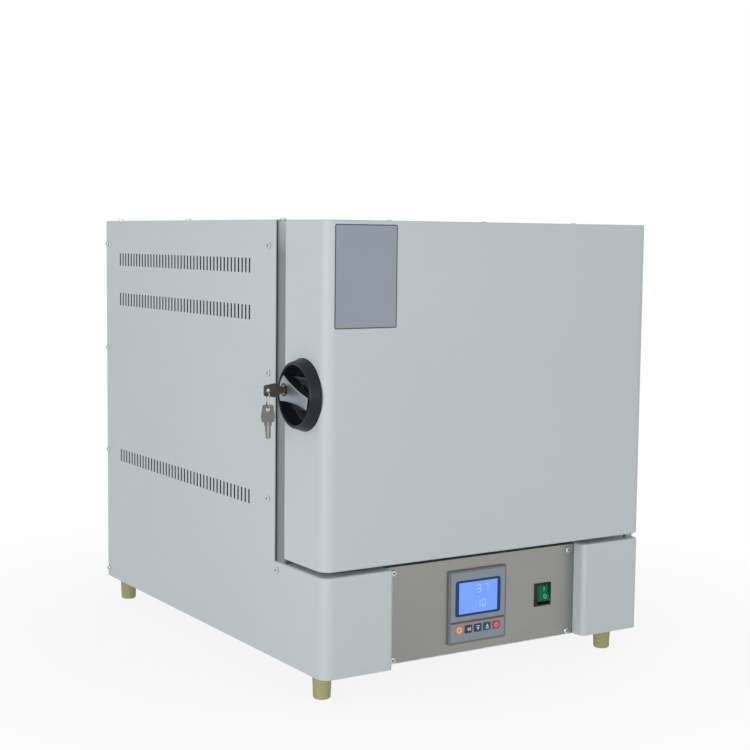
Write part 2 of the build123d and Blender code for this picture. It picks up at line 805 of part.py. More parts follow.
def relay():
    """Solid state relay on the flat half of the heat sink."""
    z = base_z + skin + sink_base
    x1 = relay_x - relay_side
    x0 = x1 - relay_w
    body = slab(x0, x1, relay_y - relay_l / 2, relay_y + relay_l / 2, z, z + relay_h)
    body = chamfer(body.faces().sort_by(Axis.Z)[-1].edges(), 2)
    for x in (x0 + relay_w / 4, x1 - relay_w / 4):
        for sy in (-1, 1):
            body -= rod_z(z + relay_h - 4, z + relay_h + 1, x, relay_y + sy * relay_l / 3, 4)
    return body


def terminal_block():
    """Row of terminals for the supply lead."""
    z = base_z + skin
    top = z + terminal_h
    half = terminal_w / 2
    y = body_d - terminal_back
    block = slab(terminal_x - half, terminal_x + half, y - terminal_l / 2, y + terminal_l / 2, z, top)
    first = terminal_x - terminal_pitch * (terminal_count - 1) / 2
    for i in range(terminal_count):
        x = first + i * terminal_pitch
        block -= slab(x - terminal_cup / 2, x + terminal_cup / 2, y - terminal_cup_l / 2, y + terminal_cup_l / 2,
                      top - 12, top + 1)
    return block


def controller_housing():
    """Panel instrument: thin bezel ahead of the panel, body behind, pockets for window and keys."""
    x = controller_x
    z = base_z + controller_z
    half_w = controller_w / 2
    half_h = controller_h / 2
    y0 = panel_y - bezel_t
    bezel = slab(x - half_w, x + half_w, y0, panel_y, z - half_h, z + half_h)
    bezel = fillet(bezel.edges().filter_by(Axis.Y), 2)
    bezel = chamfer(bezel.faces().sort_by(Axis.Y)[0].edges(), 1)
    lip = bezel_lip
    body = slab(x - half_w + lip, x + half_w - lip, panel_y, panel_y + controller_d,
                z - half_h + lip, z + half_h - lip)
    body += bezel
    window = Pos(x, 0, base_z + window_z) * window_shape(fit / 2)
    body -= window
    for i in range(5):
        body -= button_shape(i, button_gap, y0 - 1, panel_y + 4)
    return body


def window_shape(grow):
    """Display window as a plate with round corners, or its pocket."""
    y0 = panel_y - bezel_t
    plane = Plane(origin=(0, y0 - seam, 0), x_dir=(1, 0, 0), z_dir=(0, 1, 0))
    depth = window_t + seam + (0.1 if grow else 0)
    return extrude(plane * RectangleRounded(window_w + 2 * grow, window_h + 2 * grow, 4), depth)


def display_window():
    """Glazed window over the display."""
    return Pos(controller_x, 0, base_z + window_z) * window_shape(0)


def button_shape(index, grow, y0, y1):
    """A push key or its pocket: the first is round, the others are squared."""
    x = controller_x + (index - 2) * button_pitch
    z = base_z + button_z
    plane = Plane(origin=(x, y0, z), x_dir=(1, 0, 0), z_dir=(0, 1, 0))
    if index == 0:
        shape = Circle(button_w / 2 + grow)
    else:
        shape = RectangleRounded(button_w + 2 * grow, button_h + 2 * grow, 1.6)
    return extrude(plane * shape, y1 - y0)


def button(index):
    """One push key, a little proud of the bezel."""
    y0 = panel_y - bezel_t - button_proud
    key = button_shape(index, 0, y0, panel_y + 4 - button_travel - fit)
    return chamfer(key.faces().sort_by(Axis.Y)[0].edges(), 0.5)


def rocker_housing():
    """Frame of the rocker switch, with the box that the rocker swings in."""
    x = rocker_x
    z = base_z + rocker_z
    half_w = rocker_bezel_w / 2
    half_h = rocker_bezel_h / 2
    bezel = slab(x - half_w, x + half_w, panel_y - rocker_bezel_t, panel_y, z - half_h, z + half_h)
    bezel = chamfer(bezel.faces().sort_by(Axis.Y)[0].edges(), 0.8)
    half_w -= rocker_lap_x
    half_h -= rocker_lap_z
    back = panel_y + rocker_box_d
    body = bezel + slab(x - half_w, x + half_w, panel_y, back, z - half_h, z + half_h)
    room_w = rocker_w / 2 + fit
    tip = math.radians(rocker_tilt)
    room_h = rocker_half * math.cos(tip) + rocker_front * math.sin(tip) + fit
    body -= slab(x - room_w, x + room_w, panel_y - 5, back - 4, z - room_h, z + room_h)
    pivot = panel_y + rocker_pivot_d
    reach = rocker_bezel_w / 2 - rocker_pin_in
    return body - rod_x(x - reach, x + reach, pivot, z, rocker_pin_r + run)


def rocker():
    """Rocker with a shallow V face, tipped so that its lower end stands out."""
    f = rocker_front
    h = rocker_half
    outline = Polyline((-f, h), (-f + 1.6, 0), (-f, -h), (0, -h + 1), (5.5, -4), (5.5, 4), (0, h - 1), close=True)
    body = extrude(Plane.YZ.offset(-rocker_w / 2) * make_face(outline), rocker_w)
    reach = rocker_bezel_w / 2 - rocker_pin_in - fit
    body += rod_x(-reach, reach, 0, 0, rocker_pin_r)
    return Pos(rocker_x, panel_y + rocker_pivot_d, base_z + rocker_z) * Rot(-rocker_tilt, 0, 0) * body


def upper_hinge_arm():
    """Arm from inside the frame to the hinge line, with its pin pointing down."""
    half = arm_w / 2
    top = arm_z + arm_t
    arm = slab(hinge_x - half, hinge_x + half, hinge_y, frame_back - arm_tail, arm_z, top)
    arm += rod_z(arm_z, top, hinge_x, hinge_y, half)
    y0 = frame_y + frame_sheet + seam / 2
    x1 = hinge_x + half
    arm += slab(x1 - arm_plate_w, x1, y0, y0 + arm_plate_t, arm_z - arm_plate_below, arm_z + arm_plate_above)
    return arm + rod_z(arm_z - block_h, arm_z, hinge_x, hinge_y, hinge_pin_r)


def lower_hinge_pin():
    """Collared pin that stands on the right pad and carries the door."""
    pin = rod_z(deck_top - 6, door_z0 + block_h, hinge_x, hinge_y, hinge_pin_r)
    return pin + rod_z(ledge_z, door_z0 - hinge_gap, hinge_x, hinge_y, hinge_pin_r + 2)


def hinge_pin_nut():
    """Nut that clamps the lower pin under the pad's top."""
    nut = extrude(Pos(hinge_x, hinge_y, deck_top - 4) * RegularPolygon(hinge_pin_r * 1.3, 6), 4)
    return nut - rod_z(deck_top - 5, ledge_z, hinge_x, hinge_y, hinge_pin_r + run)


def hinge_block(z0, z1):
    """Block in the door's hinge corner, bored for the pin and shaped to the corner."""
    inset = skin + seam / 2
    x1 = side_x - inset
    y0 = door_y0 + inset
    plan = Pos((x1 + 224) / 2, (y0 + 32) / 2) * Rectangle(x1 - 224, 32 - y0)
    plan = fillet(plan.vertices().sort_by_distance((x1, y0, 0))[0], corner_r - inset)
    block = extrude(Pos(0, 0, z0) * plan, z1 - z0)
    block = chamfer(block.faces().sort_by(Axis.Z)[0].edges(), door_edge_r - skin + seam)
    return block - rod_z(z0 - 1, z1 + 1, hinge_x, hinge_y, hinge_pin_r + run)


def latch_keeper():
    """Bracket behind the frame, with the pin that the hook drops over."""
    y0 = frame_y + frame_sheet + seam / 2
    y1 = handle_y + hook_tip_r + 4
    z0 = chamber_z - hook_half - 8
    z1 = chamber_z + 18
    x0 = hook_x - 6
    x1 = hook_x + hook_t + 4
    bracket = slab(x0, x0 + 2, y0, y1, z0, z1) + slab(x1, x1 + 2, y0, y1, z0, z1)
    bracket += slab(x0, x1 + 2, y1 - 2, y1, z0, z1)
    bracket += slab(x1, x1 + 18, y0, y0 + 2, z0, z1)
    pin = rod_x(x0, x1 + 2, handle_y + keeper_r, chamber_z, keeper_pin_r)
    return bracket + pin


def door_block(inset, rear):
    """Door as a full block, set in from its outer faces, with round upright corners."""
    x = side_x - inset
    z0 = door_z0 + inset
    z1 = door_z1 - inset
    block = slab(-x, x, door_y0 + inset, rear, z0, z1)
    front = block.edges().filter_by(Axis.Z).group_by(Axis.Y)[0]
    block = fillet(front, corner_r - inset)
    rims = block.faces().sort_by(Axis.Z)[-1].edges() + block.faces().sort_by(Axis.Z)[0].edges()
    rims = rims.filter_by(lambda e: e.center().Y < rear - 1)
    return fillet(rims, door_edge_r - inset)


def door_shell():
    """Deep pan of the door, cut for the handle dish, the hinge arm and the lower pin."""
    shell = door_block(0, door_y1) - door_block(skin, door_y1 + 5)
    shell -= rod_x(-side_x - 1, -inner_x + 1, handle_y, chamber_z, dish_hole_r)
    shell -= arm_room(side_x + 1)
    return shell - rod_z(door_z0 - 1, door_z0 + skin + 1, hinge_x, hinge_y, hinge_pin_r + 0.6)


def arm_room(x1):
    """Slot that the fixed hinge arm sweeps through as the door turns."""
    front = hinge_y - arm_w / 2 - 3.6
    x0 = hinge_x - arm_w / 2 - arm_gap
    return slab(x0, x1, front, door_y1 + 1, arm_z - arm_gap, arm_z + arm_t + arm_gap)


def door_inner_panel():
    """Stainless back of the door, open for the plug, the hook and the arm."""
    x = inner_x - seam * 2
    y0 = door_y1 - skin
    panel = slab(-x, x, y0, door_y1, door_z0 + skin + seam * 2, door_z1 - skin - seam * 2)
    hole = upright(y0 - 1) * Rectangle(plug_tenon_w + 2 * seam, plug_tenon_h + 2 * seam)
    panel -= extrude(hole, skin + 2)
    panel -= latch_slot(y0 - 1, door_y1 + 1)
    return panel - arm_room(side_x)


def door_plug():
    """Tapered fibre plug with a tenon into the door."""
    tip_w = plug_base_w / 2 - plug_taper
    tip_h = plug_base_h / 2 - plug_taper
    y0 = door_y1
    base = upright(y0) * soft_rectangle(plug_base_w / 2, plug_base_h / 2, plug_r)
    tip = upright(y0 + plug_reach) * soft_rectangle(tip_w, tip_h, plug_r)
    tenon = upright(y0 - plug_tenon_d) * Rectangle(plug_tenon_w, plug_tenon_h)
    return loft([base, tip]) + extrude(tenon, plug_tenon_d)


def door_board():
    """Insulation board between the door's front and its plug."""
    half = side_x - 35
    y0 = door_y0 + skin + fit
    y1 = door_y1 - plug_tenon_d - seam
    z0 = door_z0 + skin + fit
    z1 = door_z1 - skin - fit
    return slab(-half, half, y0, y1, z0, z1)


def door_gasket():
    """Flat woven seal round the plug."""
    outer = upright(door_y1) * soft_rectangle(plug_base_w / 2 + gasket_w, plug_base_h / 2 + gasket_w, plug_r * 2)
    inner = upright(door_y1) * soft_rectangle(plug_base_w / 2 + seam, plug_base_h / 2 + seam, plug_r)
    return extrude(outer - inner, gasket_t)


def handle_dish():
    """Round dish let into the door's left side, proud at its rim, with a bar bored for the blade's boss."""
    bore = shaft_r + run
    face = seam / 2
    proud = dish_proud
    deep = -dish_floor
    rim = dish_rim_r
    hole = dish_hole_r - fit
    profile = Polyline((bore, deep), (25, deep), (32.5, deep + 5), (35.2, 6), (rim - 3, proud - 0.7),
                       (rim - 1.2, proud), (rim + 0.8, proud - 1.5), (dish_r - 1, 2.2), (dish_r, face),
                       (hole, face), (hole, -3), (33, deep - 2), (13, deep - 2), (12, deep - 4),
                       (bore, deep - 4), close=True)
    dish = revolve(make_face(Plane.XZ * profile), Axis.Z)
    reach = dish_hole_r - 4.5
    bar = Pos(0, 0, (deep - bar_in) / 2) * (Box(2 * bar_half, 2 * reach, -bar_in - deep)
                                            & Cylinder(reach, -bar_in - deep))
    rims = bar.faces().sort_by(Axis.Z)[-1].edges().filter_by(GeomType.LINE)
    bar = chamfer(rims, bar_edge) - Cylinder(boss_r + fit, 3 * dish_floor)
    return Pos(door_face, handle_y, chamber_z) * Rot(0, -90, 0) * (dish + bar)


def handle_frame():
    """Placement whose Z points out of the door's left side and X to the blade's rear end."""
    rear = (0, math.cos(tilt), math.sin(tilt))
    return Plane(origin=(door_face, handle_y, chamber_z), x_dir=rear, z_dir=(-1, 0, 0))


def handle_blade():
    """Waisted grip, wide at the lock and flat at its narrow end, on a round boss."""
    heel_x = blade_heel
    f = blade_front
    upper = Spline((heel_x, blade_rear_half), (0, blade_waist_half), (-f, blade_front_half),
                   tangents=((-1, -0.3), (-1, 0)))
    nose = Line((-f, blade_front_half), (-f, -blade_front_half))
    lower = Spline((-f, -blade_front_half), (0, -blade_waist_half), (heel_x, -blade_rear_half),
                   tangents=((1, 0), (1, -0.3)))
    heel = ThreePointArc((heel_x, -blade_rear_half), (blade_rear, 0), (heel_x, blade_rear_half))
    plan = make_face([upper, nose, lower, heel])
    low = blade_low
    blade = extrude(Pos(0, 0, low) * plan, blade_proud - low)
    blade = chamfer(blade.faces().sort_by(Axis.Z)[-1].edges(), blade_edge)
    boss_z = -dish_floor + fit
    blade += Pos(0, 0, (boss_z + low) / 2) * Cylinder(boss_r, low - boss_z)
    blade -= Pos(0, 0, boss_z) * Cylinder(shaft_r + run, 4 * dish_floor)
    blade -= Pos(lock_reach, 0, blade_proud / 2) * Cylinder(barrel_r + run, 2 * blade_proud)
    return handle_frame() * blade


def handle_shaft():
    """Shaft from the blade through the dish to the hook."""
    return rod_x(door_face - 6, hook_x + hook_t + 3, handle_y, chamber_z, shaft_r)


def latch_hook():
    """Flat hook: hub on the shaft, arm pointing up, notch in its leading edge."""
    hub = rod_x(hook_x, hook_x + hook_t, handle_y, chamber_z, hook_half + 2)
    tip = hook_tip_r - 4
    arm = slab(hook_x, hook_x + hook_t, handle_y - hook_half, handle_y + hook_half, chamber_z, chamber_z + tip)
    reach = hook_tip_r
    disc = rod_x(hook_x, hook_x + hook_t, handle_y, chamber_z, reach)
    arm = slab(hook_x, hook_x + hook_t, handle_y - hook_half, handle_y + hook_half,
               chamber_z, chamber_z + reach + 1) & disc
    low = chamber_z + keeper_r - keeper_pin_r - keeper_gap - 1.2
    high = chamber_z + keeper_r + keeper_pin_r + keeper_gap
    notch = slab(hook_x - 1, hook_x + hook_t + 1, handle_y - keeper_pin_r - keeper_gap, handle_y + hook_half + 1, low, high)
    return hub + arm - notch - rod_x(hook_x - 1, hook_x + hook_t + 1, handle_y, chamber_z, shaft_r + run)


def lock_barrel():
    """Sleeve of the lock, set in the blade."""
    x0 = blade_top_x - 0.6
    x1 = door_face - barrel_low
    sleeve = rod_x(x0, x1, lock_y, lock_z, barrel_r)
    return sleeve - rod_x(x0 - 1, x1 - 1.2, lock_y, lock_z, lock_plug_r + run)


def lock_plug():
    """Turning core of the lock, slotted for the key."""
    x0 = blade_top_x - 0.8
    x1 = door_face - barrel_low - 1.5
    core = rod_x(x0, x1, lock_y, lock_z, lock_plug_r)
    half_t = key_t / 2 + key_slot_gap
    half_w = key_w / 2 + key_slot_gap
    return core - slab(x0 - 1, x1 - 1, lock_y - half_t, lock_y + half_t, lock_z - half_w, lock_z + half_w)


def key_outline(blade_l):
    """Flat key in X and Z: the bow's middle at 0, the blade towards +X, with cuts below."""
    half_l = bow_l / 2
    top = bow_top_w / 2
    side = bow_w / 2
    foot = side - 1.2
    bow = Polyline((-half_l, top), (half_l / 3, side), (half_l, foot), (half_l, -foot), (half_l / 3, -side),
                   (-half_l, -top), close=True)
    bow = make_face(bow)
    bow = fillet(bow.vertices(), 1.6)
    step = half_l + key_reach
    neck = Pos(step / 2, 0) * Rectangle(step, neck_w)
    tip = step + blade_l
    w = key_w / 2
    blade = Polyline((half_l, w), (tip - 3, w), (tip, 0), (tip - 3, -w), (tip - 5, -w + 1.6),
                     (tip - 7, -w), (tip - 9, -w + 1.2), (tip - 10, -w), (half_l, -w), close=True)
    hole = Pos(-half_l + key_hole_in, 0) * Circle(key_hole_r)
    return bow + neck + make_face(blade) - hole


def key_solid(blade_l):
    """The key, as thick as it is, about the middle of its bow."""
    flat = Plane.XZ.offset(-key_t / 2) * key_outline(blade_l)
    return extrude(flat, key_t)


bow_x = blade_top_x - key_clear - bow_l / 2
hole_x = bow_x - bow_l / 2 + key_hole_in
ring_top_z = lock_z - hang
ring_low_z = ring_top_z - 2 * ring_r


def lock_key():
    """Key in the lock, its blade in the plug's slot."""
    return Pos(bow_x, lock_y, lock_z) * key_solid(lock_key_l)


def key_ring():
    """Flat wire ring through both keys."""
    wire = Plane.XZ * (Pos(ring_r, 0) * Rectangle(ring_wire, ring_wire))
    ring = revolve(wire, Axis.Z)
    return Pos(hole_x, lock_y, ring_top_z - ring_r) * Rot(0, 0, -ring_turn) * Rot(0, 90, 0) * ring


def spare_key():
    """Second key, hanging point down from the ring."""
    drop = ring_low_z - hang - (bow_l / 2 - key_hole_in)
    return Pos(hole_x, lock_y, drop) * Rot(0, 0, -ring_turn) * Rot(0, 90, 0) * key_solid(spare_key_l)


nodes = {
    "base_tray": base_tray,
    "rubber_feet": rubber_feet,
    "foot_bolts": foot_bolts,
    "left_side_panel": left_side_panel,
    "right_side_panel": right_side_panel,
    "top_cover": top_cover,
    "rear_panel": rear_panel,
    "front_frame": front_frame,
    "frame_top_strip": frame_top_strip,
    "deck": deck,
    "control_panel": control_panel,
    "side_screws": side_screws,
    "top_screws": top_screws,
    "panel_screws": panel_screws,
    "throat_collar": throat_collar,
    "muffle": muffle,
    "muffle_rear_wall": muffle_rear_wall,
    "heating_elements": heating_elements,
    "hearth_plate": hearth_plate,
    "insulation_boards": insulation_boards,
    "inner_casing": inner_casing,
    "element_bushes": element_bushes,
    "casing_rails": casing_rails,
    "thermocouple": thermocouple,
    "exhaust_pipe": exhaust_pipe,
    "exhaust_spigot": exhaust_spigot,
    "cable_gland": cable_gland,
    "gland_nut": gland_nut,
    "heat_sink": heat_sink,
    "relay": relay,
    "terminal_block": terminal_block,
    "controller_housing": controller_housing,
    "display_window": display_window,
    "rocker_housing": rocker_housing,
    "upper_hinge_arm": upper_hinge_arm,
    "lower_hinge_pin": lower_hinge_pin,
    "hinge_pin_nut": hinge_pin_nut,
    "latch_keeper": latch_keeper,
    "door_shell": door_shell,
    "door_inner_panel": door_inner_panel,
    "door_board": door_board,
    "door_plug": door_plug,
    "door_gasket": door_gasket,
    "upper_hinge_block": lambda: hinge_block(arm_z - hinge_gap - block_h, arm_z - hinge_gap),
    "lower_hinge_block": lambda: hinge_block(door_z0 + skin + seam / 2, door_z0 + skin + block_h),
    "handle_dish": handle_dish,
    "handle_blade": handle_blade,
    "handle_shaft": handle_shaft,
    "latch_hook": latch_hook,
    "lock_barrel": lock_barrel,
    "lock_plug": lock_plug,
    "lock_key": lock_key,
    "key_ring": key_ring,
    "spare_key": spare_key,
    "rocker": rocker,
}
for number in range(5):
    nodes[f"push_key_{number + 1}"] = lambda number=number: button(number)

# The row's origin is on the floor under the middle of the whole outline, key and screw heads included.
left_end = bow_x - bow_l / 2
right_end = side_x + seat + screw_head_h
rear_end = body_d + pipe_out
origin = Pos(-(left_end + right_end) / 2, -rear_end / 2, 0)

if __name__ == "__main__":
    os.makedirs("parts", exist_ok=True)
    for name, make in nodes.items():
        export_step(origin * make(), f"parts/{name}.step")
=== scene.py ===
# %% [markdown]
# # A bench muffle furnace
# The furnace is a white sheet-steel cabinet with a side-hung door, a turning handle with a lock,
# and a small controller below the door. The measured solids come in as a fixed frame, and this
# lesson dresses them: light, camera, finishes, and the small pieces that are too fine for solids.

# %% Load the measured solids
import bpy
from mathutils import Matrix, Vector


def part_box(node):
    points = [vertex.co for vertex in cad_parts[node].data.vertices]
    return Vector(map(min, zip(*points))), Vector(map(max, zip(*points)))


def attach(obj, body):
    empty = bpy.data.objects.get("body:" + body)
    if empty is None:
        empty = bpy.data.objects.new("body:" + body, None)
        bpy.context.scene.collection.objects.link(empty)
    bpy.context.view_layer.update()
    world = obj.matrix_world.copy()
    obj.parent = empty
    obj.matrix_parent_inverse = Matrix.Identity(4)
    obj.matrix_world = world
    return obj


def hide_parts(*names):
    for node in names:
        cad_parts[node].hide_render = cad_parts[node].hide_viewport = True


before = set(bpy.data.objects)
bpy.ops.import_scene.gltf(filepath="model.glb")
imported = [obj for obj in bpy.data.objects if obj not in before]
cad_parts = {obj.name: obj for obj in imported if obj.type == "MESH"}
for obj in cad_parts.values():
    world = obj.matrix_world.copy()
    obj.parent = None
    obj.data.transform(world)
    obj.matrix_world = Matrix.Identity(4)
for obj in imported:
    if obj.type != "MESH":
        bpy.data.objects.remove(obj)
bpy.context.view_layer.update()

import math
import bmesh
import bpy
from mathutils import Matrix, Vector

# %% [markdown]
# Sizes on the furnace are easiest to read in millimetres from its own corner: x from the middle
# of the cabinet, y back from the front of the pads, and z up from the bench. Two solids give that
# corner, so the lesson still fits if the frame is shifted as a whole.

# %% A place in the cabinet's own millimetres
door_low, door_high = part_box("door_shell")
cabinet_middle = (door_low[0] + door_high[0]) / 2
cabinet_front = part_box("left_side_panel")[0][1]
mm = 0.001


def place(x, y, z):
    """A point given in millimetres from the cabinet's own corner, in metres in the frame."""
    return Vector((cabinet_middle + x * mm, cabinet_front + y * mm, z * mm))


print("cabinet corner in the frame:", tuple(round(c, 4) for c in place(0, 0, 0)))

# %% [markdown]
# The camera stands to the left of the furnace and a little above its middle, with a long lens,
# so that the uprights stay nearly parallel. A heading, a rise and a slight roll place it, and
# the matrix is built from three axes: right, up and backwards.

# %% Camera
heading = math.radians(-32.740)
rise = math.radians(5.270)
roll = math.radians(0.612)
backwards = Vector((
    math.sin(heading) * math.cos(rise), -math.cos(heading) * math.cos(rise), math.sin(rise),
))
level = Vector((0, 0, 1)).cross(backwards).normalized()
above = backwards.cross(level)
right = level * math.cos(roll) + above * math.sin(roll)
up = above * math.cos(roll) - level * math.sin(roll)

lens = bpy.data.cameras.new("camera")
lens.lens = 71.281
lens.sensor_width = 36.0
camera = bpy.data.objects.new("camera", lens)
bpy.context.scene.collection.objects.link(camera)
standpoint = place(-1128.88, -1474.02, 558.73)
turn = Matrix((right, up, backwards)).transposed().to_4x4()
camera.matrix_world = Matrix.Translation(standpoint) @ turn
bpy.context.scene.camera = camera
print("camera at", tuple(round(c, 3) for c in camera.matrix_world.translation))

# %% [markdown]
# A finish is written as a graph of nodes. Two small helpers keep that readable. Amount wraps a
# number that varies over the surface, so plain Python sums add the Math nodes. Finish adds every
# other node from its type, its settings and the values or links of its sockets.

# %% Helpers for finishes
class Amount:
    """A number that varies over a surface, for use in ordinary sums."""

    def __init__(self, finish, socket):
        self.finish = finish
        self.socket = socket

    def math(self, operation, first, second=0.0):
        made = self.finish.node("ShaderNodeMath", {"operation": operation}, {0: first, 1: second})
        return Amount(self.finish, made.outputs[0])

    def __add__(self, other):
        return self.math("ADD", self, other)

    def __radd__(self, other):
        return self.math("ADD", other, self)

    def __sub__(self, other):
        return self.math("SUBTRACT", self, other)

    def __rsub__(self, other):
        return self.math("SUBTRACT", other, self)

    def __mul__(self, other):
        return self.math("MULTIPLY", self, other)

    def __rmul__(self, other):
        return self.math("MULTIPLY", other, self)

    def __abs__(self):
        return self.math("ABSOLUTE", self)

    def __lt__(self, other):
        return self.math("LESS_THAN", self, other)

    def __gt__(self, other):
        return self.math("GREATER_THAN", self, other)

    def __pow__(self, other):
        return self.math("POWER", self, other)

    def larger(self, other):
        return self.math("MAXIMUM", self, other)


class Finish:
    """A material made of nodes, with one shiny-surface shader at its end."""

    def __init__(self, name, **plain):
        self.material = bpy.data.materials.new(name)
        self.material.use_nodes = True
        self.tree = self.material.node_tree
        self.surface = self.tree.nodes["Principled BSDF"]
        for socket, value in plain.items():
            self.surface.inputs[socket.replace("_", " ")].default_value = value
        self.coordinates = self.node("ShaderNodeTexCoord").outputs["Object"]

    def node(self, kind, settings=None, inputs=None):
        """Adds a node, with its settings and the values or links of its sockets."""
        made = self.tree.nodes.new(kind)
        for name, setting in (settings or {}).items():
            setattr(made, name, setting)
        for name, given in (inputs or {}).items():
            self.feed(made.inputs[name], given)
        return made

    def feed(self, socket, given):
        """Links an amount or an output to a socket, or sets a plain value on it."""
        if isinstance(given, Amount):
            given = given.socket
        if isinstance(given, bpy.types.NodeSocket):
            self.tree.links.new(given, socket)
        else:
            socket.default_value = given

    def goes_to(self, name, given):
        self.feed(self.surface.inputs[name], given)

    def axes(self):
        """The point's x, y and z on the object, in metres."""
        split = self.node("ShaderNodeSeparateXYZ", inputs={0: self.coordinates})
        return [Amount(self, output) for output in split.outputs]

    def stretched(self, scale):
        """Object coordinates scaled by axis, for a pattern with a grain."""
        mapping = self.node("ShaderNodeMapping", inputs={"Vector": self.coordinates, "Scale": scale})
        return mapping.outputs["Vector"]

    def noise(self, scale, detail=2.0, roughness=0.5, along=None):
        made = self.node("ShaderNodeTexNoise", inputs={
            "Vector": along or self.coordinates, "Scale": scale, "Detail": detail,
            "Roughness": roughness,
        })
        return Amount(self, made.outputs[0])

    def between(self, amount, low, high):
        """A colour between two fixed ones."""
        made = self.node("ShaderNodeMix", {"data_type": "RGBA"}, {
            0: amount, 6: (*low, 1.0), 7: (*high, 1.0),
        })
        return made.outputs[2]

    def blend(self, amount, below, above):
        """A colour between two varying ones."""
        made = self.node("ShaderNodeMix", {"data_type": "RGBA"}, {0: amount, 6: below, 7: above})
        return made.outputs[2]

    def relief(self, height, distance, strength=1.0):
        """A bump of the surface, its greatest height given in metres."""
        made = self.node("ShaderNodeBump", inputs={
            "Height": height, "Distance": distance, "Strength": strength,
        })
        self.goes_to("Normal", made.outputs[0])


print("helpers ready")

# %% [markdown]
# The bench is a plain white studio floor. A camera ray sees it mostly as flat white, so it joins
# the white background, and the rest of it is an ordinary matt surface that takes the furnace's
# soft shadow and throws light back up on the lower panels.

# %% Floor
floor_radius = 6.0
shadow_from, shadow_to = 0.35, 0.9
whiteness_near, whiteness_far = 0.86, 1.0

floor_mesh = bmesh.new()
bmesh.ops.create_circle(floor_mesh, segments=96, radius=floor_radius, cap_ends=True)
floor_data = bpy.data.meshes.new("floor")
floor_mesh.to_mesh(floor_data)
floor_mesh.free()
floor = bpy.data.objects.new("floor", floor_data)
bpy.context.scene.collection.objects.link(floor)

paper = Finish("floor_paper", Roughness=0.9, Specular_IOR_Level=0.0)
paper.goes_to("Base Color", paper.between(paper.noise(3.0), (0.80, 0.81, 0.82), (0.84, 0.85, 0.86)))
rays = paper.node("ShaderNodeLightPath")
seen = Amount(paper, rays.outputs["Is Camera Ray"]).larger(
    Amount(paper, rays.outputs["Is Glossy Ray"])
).larger(Amount(paper, rays.outputs["Is Transmission Ray"]))
across, along, _ = paper.axes()
distance = (across ** 2.0 + along ** 2.0) ** 0.5
faded = paper.node("ShaderNodeMapRange", inputs={
    "Value": distance, "From Min": shadow_from, "From Max": shadow_to,
    "To Min": whiteness_near, "To Max": whiteness_far,
})
white = paper.node("ShaderNodeEmission", inputs={"Color": (1, 1, 1, 1), "Strength": 1.0})
joined = paper.node("ShaderNodeMixShader", inputs={
    0: seen * Amount(paper, faded.outputs[0]), 1: paper.surface.outputs[0], 2: white.outputs[0],
})
output = paper.tree.nodes["Material Output"]
paper.feed(output.inputs["Surface"], joined.outputs[0])
floor_data.materials.append(paper.material)
print("floor radius:", floor_radius, "m")

# %% [markdown]
# Product light is large and soft. The world gives an even light from all round, one wide lamp
# stands to the left and in front, and a weaker one fills the right. A camera ray, or a reflection
# in metal, sees the world as white paper instead, which costs no extra light on the object.

# %% World and lamps
scene = bpy.context.scene
scene.view_settings.view_transform = "Standard"
world = bpy.data.worlds.new("studio")
world.use_nodes = True
scene.world = world
tree = world.node_tree
around = tree.nodes["Background"]
around.inputs["Color"].default_value = (0.96, 0.98, 1.0, 1.0)
around.inputs["Strength"].default_value = 0.55
backdrop = tree.nodes.new("ShaderNodeBackground")
backdrop.inputs["Color"].default_value = (1.0, 1.0, 1.0, 1.0)
backdrop.inputs["Strength"].default_value = 1.0
path = tree.nodes.new("ShaderNodeLightPath")
either = tree.nodes.new("ShaderNodeMath")
either.operation = "MAXIMUM"
any_of_three = tree.nodes.new("ShaderNodeMath")
any_of_three.operation = "MAXIMUM"
choice = tree.nodes.new("ShaderNodeMixShader")
for output, socket in (
    (path.outputs["Is Camera Ray"], either.inputs[0]),
    (path.outputs["Is Glossy Ray"], either.inputs[1]),
    (either.outputs[0], any_of_three.inputs[0]),
    (path.outputs["Is Transmission Ray"], any_of_three.inputs[1]),
    (any_of_three.outputs[0], choice.inputs[0]),
    (around.outputs[0], choice.inputs[1]),
    (backdrop.outputs[0], choice.inputs[2]),
    (choice.outputs[0], tree.nodes["World Output"].inputs["Surface"]),
):
    tree.links.new(output, socket)


def lamp(name, position, target, width, height, power):
    """A wide soft white lamp that faces a target; metres and watts."""
    data = bpy.data.lights.new(name, "AREA")
    data.shape = "RECTANGLE"
    data.size = width
    data.size_y = height
    data.energy = power
    made = bpy.data.objects.new(name, data)
    scene.collection.objects.link(made)
    facing = (Vector(target) - Vector(position)).to_track_quat("-Z", "Y")
    made.matrix_world = Matrix.Translation(position) @ facing.to_matrix().to_4x4()


lamp("lamp_left", (-2.6, -1.5, 0.62), (0, 0, 0.25), 1.8, 1.1, 25)
lamp("lamp_front", (0.2, -2.9, 0.56), (0, 0, 0.15), 1.8, 1.0, 8)

# %% [markdown]
# The cabinet and the door are steel sheet with a white powder coat. Powder flows out as it bakes
# and leaves a faint orange peel about a millimetre across. A soft, slow change of tone keeps the
# large panels from looking like one flat fill, and the gloss varies a little with it.

# %% White powder coat
def powder_coat(name):
    """A white powder coat, and the colour that it gives to Base Color."""
    made = Finish(name, Roughness=0.42, Specular_IOR_Level=0.4)
    tone = made.noise(4.0, detail=3.0)
    colour = made.between(tone, (0.575, 0.626, 0.643), (0.625, 0.675, 0.688))
    made.goes_to("Base Color", colour)
    made.goes_to("Roughness", made.noise(18.0, detail=4.0) * 0.12 + 0.36)
    made.relief(made.noise(650.0, detail=1.0), 0.00006, 0.35)
    return made, colour


paint, _ = powder_coat("white_powder_coat")

